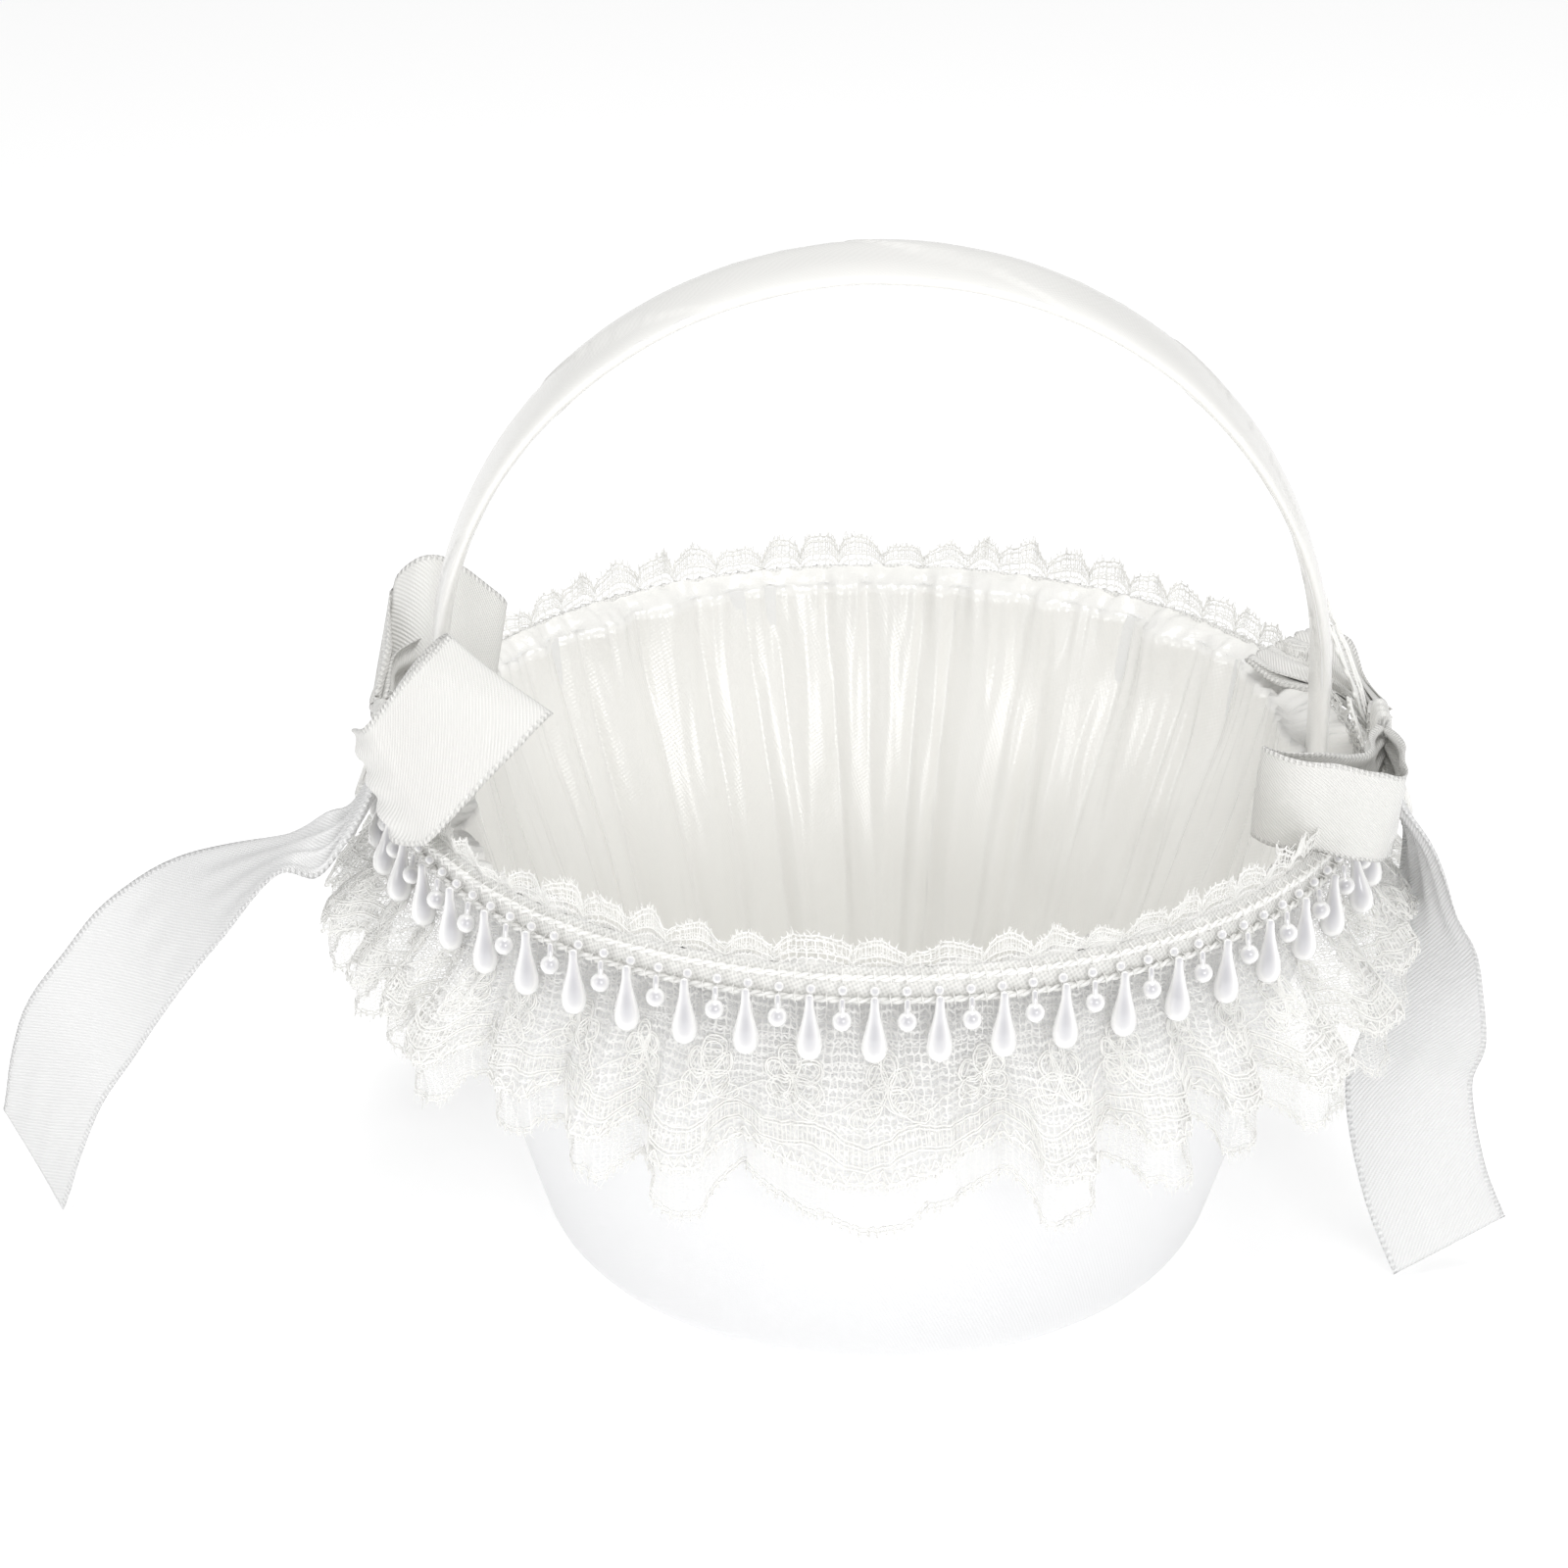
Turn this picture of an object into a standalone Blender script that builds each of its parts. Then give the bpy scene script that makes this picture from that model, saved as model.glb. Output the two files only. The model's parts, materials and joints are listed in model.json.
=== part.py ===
"""Flower girl basket: a satin-covered bowl with a wrapped hoop handle, a gathered lining,
a two-layer lace frill, a fringe of hanging pearls and a ribbon bow at each end of the handle.

Frame: the origin is the centre of the flat underside, +Z is up, the handle's hoop stands in
the XZ plane and the front of the basket faces -Y. All lengths are in metres.
"""
import math

import bmesh
import bpy
from mathutils import Vector

# ---------------------------------------------------------------- driving dimensions
GAP = 0.0003                  # air kept between two pieces that touch

RIM_HEIGHT = 0.0885           # top edge of the bowl above the table
RIM_RADIUS = 0.0803           # outside of the satin cover at the rim
BASE_RADIUS = 0.0475          # flat part of the underside
BASE_FILLET = 0.0120          # rounded edge between the underside and the side
FILLET_SWEEP = math.radians(72.0)
SIDE_FULLNESS = 0.46          # where the side's control point stands, as a share of its rise
COVER_WALL = 0.0007           # outer satin with its backing
SHELL_WALL = 0.0016           # moulded bowl
LINING_WALL = 0.0010          # gathered satin lining, pressed flat
BASE_DISC_WALL = 0.0007       # covered card under the bowl
FLOOR_DISC_WALL = 0.0020      # padded card inside the bowl
SEGMENTS = 48                 # sides of every turned piece

HANDLE_BELLY = -0.00024       # widest place of the hoop, outwards from its legs at the rim
HANDLE_SPRING = 0.1050        # height where the hoop's curve starts
HANDLE_TOP = 0.1785           # centre of the strip at the crown
HANDLE_TUCK = 0.0360          # how far each end goes down inside the wall
CORE_WIDTH = 0.0184
CORE_THICKNESS = 0.0014
WRAP_WALL = 0.0005            # satin wound round the strip
HOOP_STATIONS = 28            # cross-sections along the hoop

LACE_WALL = 0.0006            # a gathered lace layer, pressed flat
HEADING_HEIGHT = 0.0040       # lace that stands up above the rim
TAPE_WIDTH = 0.0054
TAPE_WALL = 0.0005
TAPE_DROP = 0.0010            # centre of the tape below the rim
CORD_RADIUS = 0.0007
CORD_SPACING = 0.0039         # between the two cords sewn on the tape
FRILL_DEPTH = 0.0300          # upper lace layer, from the rim down to its hem
FRILL_FLARE = 0.0074          # how far its hem stands out from its gathers
NET_DEPTH = 0.0390            # net layer under it
NET_FLARE = 0.0062

PEARL_COUNT = 52              # long pearls round the rim, with as many round ones between
PEARL_PHASE = math.radians(-1.5)
PEARL_LENGTH = 0.0101
PEARL_RADIUS = 0.0020
THREAD_RADIUS = 0.0004
ROUND_RADIUS = 0.00155
ROUND_DROP = 0.0050           # cord to the middle of a round pearl
FREE_REACH = 9                # long pearls free to swing on each side of the front one
FIXED_TILT = math.radians(12.0)   # pearls that are sewn down lean out on the frill
BOW_COVER = math.radians(11.0)    # stretch of rim on each side of a bow with no pearls

RIBBON_HALF = 0.0110          # half the width of the bows' ribbon
RIBBON_WALL = 0.0005
KNOT_SIZE = (0.0034, 0.0085, 0.0085)
KNOT_LEVEL = 0.0115           # knot centre above the rim's edge
KNOT_CLEARANCE = 0.0013       # from the lace heading out to the knot
KNOT_FORWARD = 0.0110         # knot centre in front of the handle's middle
APPLIQUE_WALL = 0.0008
APPLIQUE_NORMAL = (0.89, 0.0, 0.456)
PETAL_NOTCH = 0.30            # depth between two petals, as a share of their length
PETAL_SHOULDER = 0.62         # widest place of a petal, as a share of its length


# ---------------------------------------------------------------- helpers
def clear_scene():
    for obj in list(bpy.data.objects):
        bpy.data.objects.remove(obj, do_unlink=True)


def material(name, colour, roughness):
    mat = bpy.data.materials.new(name)
    mat.use_nodes = True
    shader = mat.node_tree.nodes["Principled BSDF"]
    shader.inputs["Base Color"].default_value = (*colour, 1.0)
    shader.inputs["Roughness"].default_value = roughness
    shader.inputs["Metallic"].default_value = 0.0
    return mat


def finish(bm, name, colour, roughness, smooth=True):
    """Turn a bmesh into the named object with its own material."""
    bmesh.ops.remove_doubles(bm, verts=bm.verts, dist=1e-6)
    bmesh.ops.recalc_face_normals(bm, faces=bm.faces)
    mesh = bpy.data.meshes.new(name)
    bm.to_mesh(mesh)
    bm.free()
    if smooth:
        mesh.shade_smooth()
        mesh.set_sharp_from_angle(angle=math.radians(40.0))
    mesh.materials.append(material(name, colour, roughness))
    obj = bpy.data.objects.new(name, mesh)
    bpy.context.collection.objects.link(obj)
    return obj


def turned(outline, segments=SEGMENTS, closed=True):
    """Spin an outline of (radius, height) points round Z. An open outline starts and ends
    on the axis."""
    bm = bmesh.new()
    verts = [bm.verts.new((r, 0.0, z)) for r, z in outline]
    for a, b in zip(verts, verts[1:]):
        bm.edges.new((a, b))
    if closed:
        bm.edges.new((verts[-1], verts[0]))
    bmesh.ops.spin(bm, geom=bm.verts[:] + bm.edges[:], cent=(0, 0, 0), axis=(0, 0, 1),
                   angle=2.0 * math.pi, steps=segments, use_merge=True)
    bmesh.ops.remove_doubles(bm, verts=bm.verts, dist=1e-6)
    return bm


def side_curve(inset, fillet_steps=4, side_steps=5):
    """Outline of the bowl's side, moved in by inset from the outside of the cover: the
    rounded bottom edge, then a gently curving side up to the rim."""
    points = []
    for i in range(fillet_steps + 1):
        a = FILLET_SWEEP * i / fillet_steps
        radius = BASE_FILLET - inset
        points.append((BASE_RADIUS + radius * math.sin(a), BASE_FILLET - radius * math.cos(a)))
    start = Vector((BASE_RADIUS + BASE_FILLET * math.sin(FILLET_SWEEP),
                    BASE_FILLET * (1.0 - math.cos(FILLET_SWEEP))))
    rise = SIDE_FULLNESS * (RIM_HEIGHT - start.y)
    control = start + Vector((rise / math.tan(FILLET_SWEEP), rise))
    end = Vector((RIM_RADIUS, RIM_HEIGHT))
    for i in range(1, side_steps + 1):
        t = i / side_steps
        point = (1 - t) ** 2 * start + 2 * t * (1 - t) * control + t ** 2 * end
        along = ((1 - t) * (control - start) + t * (end - control)).normalized()
        point -= inset * Vector((along.y, -along.x))
        points.append((point.x, min(point.y, RIM_HEIGHT)))
    return points


def side_radius(inset, height):
    """Radius of that outline at a height."""
    points = side_curve(inset)
    for (r0, z0), (r1, z1) in zip(points, points[1:]):
        if z0 <= height <= z1:
            return r0 + (r1 - r0) * (height - z0) / (z1 - z0)
    return points[-1][0]


def wall(inset, thickness):
    """Closed outline of a skin round the side, open at the underside."""
    return side_curve(inset) + side_curve(inset + thickness)[::-1]


def cup(inset, thickness):
    """Open outline, axis to axis, of a bowl with a flat bottom."""
    outer = side_curve(inset)
    inner = side_curve(inset + thickness)
    return [(0.0, outer[0][1])] + outer + inner[::-1] + [(0.0, inner[0][1])]


def band(inner, thickness):
    """Closed outline of a ring that follows a line of (radius, height) points."""
    return inner + [(r + thickness, z) for r, z in reversed(inner)]


def disc(radius, low, thickness):
    return [(0.0, low), (radius, low), (radius, low + thickness), (0.0, low + thickness)]


def catmull(points, steps):
    """Smooth curve through every point, with a number of steps between two of them."""
    points = [Vector(p) for p in points]
    padded = [2 * points[0] - points[1]] + points + [2 * points[-1] - points[-2]]
    curve = []
    for i in range(1, len(padded) - 2):
        a, b, c, d = padded[i - 1:i + 3]
        for k in range(steps):
            t = k / steps
            curve.append(0.5 * (2 * b + (c - a) * t + (2 * a - 5 * b + 4 * c - d) * t ** 2
                                + (3 * b - a - 3 * c + d) * t ** 3))
    curve.append(points[-1])
    return curve


def ring(bm, centre, across, up, half_width, half_height):
    """Four joined vertices: one rectangular cross-section of a strip."""
    corners = [centre + sx * half_width * across + sy * half_height * up
               for sx, sy in ((-1, -1), (1, -1), (1, 1), (-1, 1))]
    verts = [bm.verts.new(c) for c in corners]
    return [bm.edges.new((verts[i], verts[(i + 1) % 4])) for i in range(4)]


# ---------------------------------------------------------------- bowl, cover and lining
SHELL_INSET = COVER_WALL + GAP
CHANNEL_INSET = SHELL_INSET + SHELL_WALL              # inside of the moulded bowl
WRAP_THICKNESS = CORE_THICKNESS + 2 * (GAP + WRAP_WALL)
WRAP_WIDTH = CORE_WIDTH + 2 * (GAP + WRAP_WALL)
TUCK_RADIUS = side_radius(CHANNEL_INSET, RIM_HEIGHT - HANDLE_TUCK)
STRIP_BOW = TUCK_RADIUS - math.sqrt(TUCK_RADIUS ** 2 - (WRAP_WIDTH / 2) ** 2) + GAP / 2
STRIP_INSET = CHANNEL_INSET + GAP + STRIP_BOW         # outer face of the flat strip
LINING_INSET = STRIP_INSET + WRAP_THICKNESS + GAP
FLOOR_INSET = LINING_INSET + LINING_WALL


def make_bowl():
    finish(turned(cup(SHELL_INSET, SHELL_WALL), closed=False), "basket_shell",
           (0.80, 0.80, 0.78), 0.6)
    finish(turned(wall(0.0, COVER_WALL)), "outer_satin_cover", (0.90, 0.90, 0.90), 0.35)
    finish(turned(disc(BASE_RADIUS - GAP, 0.0, BASE_DISC_WALL), closed=False), "base_disc",
           (0.88, 0.88, 0.87), 0.5)
    finish(turned(cup(LINING_INSET, LINING_WALL), closed=False), "satin_lining",
           (0.93, 0.91, 0.86), 0.3)
    finish(turned(disc(BASE_RADIUS - GAP, FLOOR_INSET + GAP, FLOOR_DISC_WALL), closed=False),
           "floor_disc", (0.92, 0.90, 0.85), 0.35)


# ---------------------------------------------------------------- handle
def hoop_line():
    """Centre line of the handle in the XZ plane, from the left end to the right one. Below
    the rim it follows the channel between the bowl and the lining."""
    inset = STRIP_INSET + WRAP_THICKNESS / 2
    foot = RIM_HEIGHT - HANDLE_TUCK
    leg = [Vector((side_radius(inset, foot + f * HANDLE_TUCK), 0.0, foot + f * HANDLE_TUCK))
           for f in (0.0, 0.33, 0.67, 1.0)]
    rise = HANDLE_TOP - HANDLE_SPRING
    half_span = leg[-1].x + HANDLE_BELLY
    arch = []
    for i in range(HOOP_STATIONS + 1):
        a = math.pi * i / HOOP_STATIONS
        arch.append(Vector((half_span * math.cos(a), 0.0,
                            HANDLE_SPRING + rise * math.sin(a))))
    left_leg = [Vector((-p.x, 0.0, p.z)) for p in leg]
    return left_leg + arch[::-1] + leg[::-1]


def strip_sections(line, half_width, half_thickness, bm):
    rings = []
    for i, point in enumerate(line):
        before = line[max(i - 1, 0)]
        after = line[min(i + 1, len(line) - 1)]
        along = (after - before).normalized()
        outward = Vector((0, 1, 0)).cross(along)
        rings.append(ring(bm, point, Vector((0, 1, 0)), outward, half_width, half_thickness))
    for a, b in zip(rings, rings[1:]):
        bmesh.ops.bridge_loops(bm, edges=a + b)
    return rings


def make_handle():
    line = hoop_line()
    bm = bmesh.new()
    rings = strip_sections(line, CORE_WIDTH / 2, CORE_THICKNESS / 2, bm)
    bmesh.ops.edgeloop_fill(bm, edges=rings[0])
    bmesh.ops.edgeloop_fill(bm, edges=rings[-1])
    finish(bm, "handle_core", (0.85, 0.85, 0.83), 0.5)
    bm = bmesh.new()
    strip_sections(line, WRAP_WIDTH / 2, WRAP_THICKNESS / 2, bm)
    sleeve = finish(bm, "handle_satin_wrap", (0.95, 0.93, 0.88), 0.3)
    wall_in = sleeve.modifiers.new("sleeve wall", "SOLIDIFY")
    wall_in.thickness = WRAP_WALL
    wall_in.offset = -1.0
    wall_in.use_even_offset = True


# ---------------------------------------------------------------- lace frill and pearl tape
LACE_RADIUS = RIM_RADIUS + GAP                  # inside of the gathered lace at the rim
TAPE_RADIUS = LACE_RADIUS + LACE_WALL + GAP
TAPE_LEVEL = RIM_HEIGHT - TAPE_DROP
CORD_LINE = TAPE_RADIUS + TAPE_WALL + GAP + CORD_RADIUS
UPPER_CORD_LEVEL = TAPE_LEVEL + CORD_SPACING / 2
LOWER_CORD_LEVEL = TAPE_LEVEL - CORD_SPACING / 2
GATHER_LEVEL = RIM_HEIGHT - 0.0120              # where the frill starts to stand out
NET_TOP = TAPE_LEVEL - TAPE_WIDTH / 2           # the net is caught under the tape


def make_lace():
    hem = RIM_HEIGHT - FRILL_DEPTH
    line = [(LACE_RADIUS, RIM_HEIGHT + HEADING_HEIGHT), (LACE_RADIUS, RIM_HEIGHT - 0.0050),
            (LACE_RADIUS + 0.0004, GATHER_LEVEL),
            (LACE_RADIUS + 0.55 * FRILL_FLARE, 0.5 * (GATHER_LEVEL + hem)),
            (LACE_RADIUS + FRILL_FLARE, hem)]
    finish(turned(band(line, LACE_WALL)), "lace_frill", (0.95, 0.95, 0.93), 0.7)
    inside = side_radius(0.0, NET_TOP) + GAP
    hem = RIM_HEIGHT - NET_DEPTH
    line = [(inside, NET_TOP), (inside, GATHER_LEVEL),
            (inside + 0.45 * NET_FLARE, 0.5 * (GATHER_LEVEL + hem)),
            (inside + NET_FLARE, hem)]
    finish(turned(band(line, LACE_WALL)), "net_frill", (0.94, 0.94, 0.93), 0.75)


def cord_ring(level):
    """A round cord bent into a ring, as a six-sided tube."""
    outline = [(CORD_LINE + CORD_RADIUS * math.cos(a), level + CORD_RADIUS * math.sin(a))
               for a in (math.radians(60.0 * i) for i in range(6))]
    return turned(outline, segments=PEARL_COUNT)


def pearl_outline(start):
    """Open outline of a long pearl on its thread, hanging from the origin. The thread
    starts at a depth below it."""
    return [(0.0, -start), (THREAD_RADIUS, -start), (THREAD_RADIUS, -0.26 * PEARL_LENGTH),
            (0.50 * PEARL_RADIUS, -0.55 * PEARL_LENGTH),
            (0.97 * PEARL_RADIUS, -0.76 * PEARL_LENGTH),
            (0.93 * PEARL_RADIUS, -0.89 * PEARL_LENGTH), (0.0, -PEARL_LENGTH)]


def round_outline():
    """Open outline of a round pearl on its thread, hanging from the origin."""
    return [(0.0, 0.0), (THREAD_RADIUS, 0.0), (THREAD_RADIUS, -ROUND_DROP + ROUND_RADIUS),
            (ROUND_RADIUS, -ROUND_DROP + 0.4 * ROUND_RADIUS),
            (ROUND_RADIUS, -ROUND_DROP - 0.4 * ROUND_RADIUS),
            (0.0, -ROUND_DROP - ROUND_RADIUS)]


def rim_place(angle, radius, level):
    """Place on the rim: angle 0 is the front, and it grows towards +X."""
    return Vector((radius * math.sin(angle), -radius * math.cos(angle), level))


def pearl_angle(index):
    return PEARL_PHASE + 2.0 * math.pi * index / PEARL_COUNT


def under_a_bow(angle):
    off = abs(math.remainder(angle, math.pi))
    return abs(off - math.pi / 2) < BOW_COVER


def make_tape():
    low = TAPE_LEVEL - TAPE_WIDTH / 2
    high = TAPE_LEVEL + TAPE_WIDTH / 2
    outline = band([(TAPE_RADIUS, low), (TAPE_RADIUS, high)], TAPE_WALL)
    finish(turned(outline), "pearl_tape", (0.93, 0.93, 0.90), 0.6)
    finish(cord_ring(UPPER_CORD_LEVEL), "upper_cord", (0.96, 0.96, 0.94), 0.6)


def make_fixed_pearls():
    """The lower cord with every round pearl and the long ones of the back, joined to it."""
    cord = finish(cord_ring(LOWER_CORD_LEVEL), "lower_cord_with_pearls",
                  (0.94, 0.93, 0.91), 0.25)
    group = bpy.data.collections.new("pearls_joined_to_the_cord")
    bpy.context.scene.collection.children.link(group)
    long_mesh = finish(turned(pearl_outline(0.0), 6, closed=False), "long_pearl_pattern",
                       (0.94, 0.93, 0.91), 0.25)
    round_mesh = finish(turned(round_outline(), 6, closed=False), "round_pearl_pattern",
                        (0.94, 0.93, 0.91), 0.25)

    def hang(pattern, angle, name):
        copy = bpy.data.objects.new(name, pattern.data)
        copy.location = rim_place(angle, CORD_LINE, LOWER_CORD_LEVEL)
        copy.rotation_euler = (-FIXED_TILT, 0.0, angle)
        copy.hide_render = True
        copy.display_type = "WIRE"
        group.objects.link(copy)

    half_turn = math.pi / PEARL_COUNT
    for index in range(-(PEARL_COUNT // 2), PEARL_COUNT - PEARL_COUNT // 2):
        angle = pearl_angle(index)
        if abs(index) > FREE_REACH and not under_a_bow(angle):
            hang(long_mesh, angle, f"joined_long_{index}")
        if not under_a_bow(angle + half_turn):
            hang(round_mesh, angle + half_turn, f"joined_round_{index}")
    for pattern in (long_mesh, round_mesh):
        bpy.data.objects.remove(pattern, do_unlink=True)
    union = cord.modifiers.new("join pearls", "BOOLEAN")
    union.operation = "UNION"
    union.operand_type = "COLLECTION"
    union.collection = group
    union.solver = "EXACT"


def make_free_pearls():
    """The long pearls of the front, each hinged on its thread. The object's origin is on
    the swing axis, which runs along the rim."""
    hinge_radius = CORD_LINE + CORD_RADIUS + GAP + 2 * THREAD_RADIUS
    for number, index in enumerate(range(-FREE_REACH, FREE_REACH + 1), start=1):
        angle = pearl_angle(index)
        pearl = finish(turned(pearl_outline(THREAD_RADIUS), 8, closed=False),
                       f"long_pearl_{number:02d}", (0.94, 0.93, 0.92), 0.2)
        pearl.location = rim_place(angle, hinge_radius, LOWER_CORD_LEVEL + CORD_RADIUS)
        pearl.rotation_euler = (0.0, 0.0, angle)


# ---------------------------------------------------------------- bows
def knot_centre(side):
    outside = LACE_RADIUS + LACE_WALL + KNOT_CLEARANCE + KNOT_SIZE[0] / 2
    return Vector((side * outside, -KNOT_FORWARD, RIM_HEIGHT + KNOT_LEVEL))


def ribbon(name, stations, side, colour):
    """A ribbon as a thin solid strip. Each station holds its centre measured from the
    knot's centre (outward, back, up), the direction across the ribbon and the share of the
    full width that the gathers leave there."""
    origin = knot_centre(side)
    mirror = Vector((side, 1.0, 1.0))
    centres = [origin + Vector(c) * mirror for c, _, _ in stations]
    acrosses = [Vector(a).normalized() * share * RIBBON_HALF * mirror
                for _, a, share in stations]
    steps = 2
    left = catmull([c - a for c, a in zip(centres, acrosses)], steps)
    right = catmull([c + a for c, a in zip(centres, acrosses)], steps)
    bm = bmesh.new()
    rungs = []
    for a, b in zip(left, right):
        rungs.append(bm.edges.new((bm.verts.new(a), bm.verts.new(b))))
    for first, second in zip(rungs, rungs[1:]):
        bmesh.ops.bridge_loops(bm, edges=[first, second])
    bmesh.ops.recalc_face_normals(bm, faces=bm.faces)
    obj = finish(bm, name, colour, 0.3)
    wall_up = obj.modifiers.new("ribbon thickness", "SOLIDIFY")
    wall_up.thickness = RIBBON_WALL
    wall_up.offset = 0.0
    wall_up.use_even_offset = False
    return obj


def petal_plate(name, side, offset, top, lengths, width):
    """A flat embroidered flower with pointed petals, leaning outwards behind the knot: one
    outline pulled up into a plate. Its middle is measured from the knot's centre (outward,
    back, up). The first petal points along top, and the others follow round the normal."""
    mirror = Vector((side, 1.0, 1.0))
    normal = Vector(APPLIQUE_NORMAL).normalized()
    first = Vector(top)
    first = (first - first.dot(normal) * normal).normalized()
    second = normal.cross(first)
    middle = knot_centre(1) + Vector(offset)
    bm = bmesh.new()
    verts = []
    step = 2.0 * math.pi / len(lengths)
    for i, length in enumerate(lengths):
        notch = PETAL_NOTCH * 0.5 * (length + lengths[i - 1])
        shoulder = PETAL_SHOULDER * length
        for turn, reach in ((-0.5, notch), (-0.3 * width, shoulder), (0.0, length),
                            (0.3 * width, shoulder)):
            a = (i + turn) * step
            point = middle + reach * (math.cos(a) * first + math.sin(a) * second)
            verts.append(bm.verts.new(point * mirror))
    face = bm.faces.new(verts)
    raised = bmesh.ops.extrude_face_region(bm, geom=[face])
    moved = [v for v in raised["geom"] if isinstance(v, bmesh.types.BMVert)]
    bmesh.ops.translate(bm, verts=moved, vec=normal * mirror * APPLIQUE_WALL)
    return finish(bm, name, (0.96, 0.96, 0.94), 0.8, smooth=False)


def knot(name, side):
    bm = bmesh.new()
    bmesh.ops.create_cube(bm, size=1.0)
    bmesh.ops.scale(bm, vec=KNOT_SIZE, verts=bm.verts)
    bmesh.ops.bevel(bm, geom=bm.edges[:], offset=0.0008, segments=1, profile=0.5,
                    affect="EDGES", material=-1)
    bmesh.ops.translate(bm, vec=knot_centre(side), verts=bm.verts)
    finish(bm, name, (0.95, 0.93, 0.88), 0.3)


IVORY = (0.95, 0.93, 0.88)
WHITE = (0.93, 0.93, 0.93)
UPRIGHT = (0.0, 0.0, -1.0)


def make_left_bow():
    knot("left_bow_knot", -1)
    leaning = (-0.78, -0.38, -0.50)
    ribbon("left_bow_front_loop", [
        ((0.0010, -0.0045, 0.0000), UPRIGHT, 0.36),
        ((0.0020, -0.0105, -0.0010), (-0.15, -0.25, -0.95), 0.75),
        ((0.0016, -0.0190, -0.0007), (-0.35, -0.42, -0.84), 0.95),
        ((-0.0042, -0.0255, 0.0011), (-0.46, -0.51, -0.73), 1.0),
        ((-0.0120, -0.0220, 0.0088), (-0.6, -0.45, -0.63), 1.0),
        ((-0.0197, -0.0150, 0.0147), leaning, 1.0),
        ((-0.0210, -0.0122, 0.0150), leaning, 1.0),
        ((-0.0187, -0.0095, 0.0128), leaning, 1.0),
        ((-0.0107, -0.0068, 0.0075), (-0.6, -0.35, -0.7), 0.9),
        ((-0.0037, -0.0055, 0.0030), (-0.3, -0.25, -0.9), 0.65),
        ((-0.0010, -0.0045, 0.0010), UPRIGHT, 0.36)], -1, IVORY)
    facing = (-0.24, -0.93, 0.29)
    ribbon("left_bow_back_loop", [
        ((0.0010, 0.0045, 0.0000), (0.0, -0.1, 1.0), 0.36),
        ((0.0024, 0.0160, 0.0000), (-0.1, -0.45, 0.85), 0.7),
        ((0.0020, 0.0275, 0.0030), facing, 1.0),
        ((-0.0002, 0.0315, 0.0095), facing, 1.0),
        ((-0.0042, 0.0332, 0.0135), facing, 1.0),
        ((-0.0097, 0.0345, 0.0125), facing, 1.0),
        ((-0.0152, 0.0350, 0.0080), facing, 1.0),
        ((-0.0177, 0.0355, 0.0035), facing, 1.0),
        ((-0.0147, 0.0350, 0.0000), facing, 1.0),
        ((-0.0062, 0.0335, -0.0005), facing, 0.95),
        ((0.0000, 0.0170, 0.0000), (-0.1, -0.3, 0.95), 0.5),
        ((-0.0010, 0.0045, 0.0010), (0.0, -0.1, 1.0), 0.36)], -1, IVORY)
    ribbon("left_bow_tail", [
        ((0.0004, -0.0005, -0.0050), (0.0, -1.0, 0.0), 0.3),
        ((0.0026, -0.0002, -0.0120), (0.0, -1.0, 0.0), 0.36),
        ((0.0063, -0.0005, -0.0185), (0.1, -0.9, -0.3), 0.45),
        ((0.0108, -0.0020, -0.0215), (0.1, -0.8, -0.5), 0.6),
        ((0.0178, -0.0017, -0.0235), (0.0, -0.95, 0.1), 0.9),
        ((0.0320, 0.0000, -0.0323), (-0.37, -0.88, -0.3), 1.0),
        ((0.0436, 0.0030, -0.0443), (-0.5, -0.57, -0.65), 1.0),
        ((0.0512, 0.0060, -0.0555), (-0.59, -0.39, -0.71), 1.0),
        ((0.0601, 0.0100, -0.0704), (-0.65, -0.45, -0.61), 1.0),
        ((0.0670, 0.0155, -0.0928), (-0.53, -0.6, -0.6), 1.0)], -1, WHITE)
    petal_plate("left_bow_applique", -1, (0.0022, 0.0110, -0.0146), (0.0, 0.0, 1.0),
                (0.0165, 0.0120, 0.0130, 0.0130, 0.0130, 0.0130), 0.9)


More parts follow.
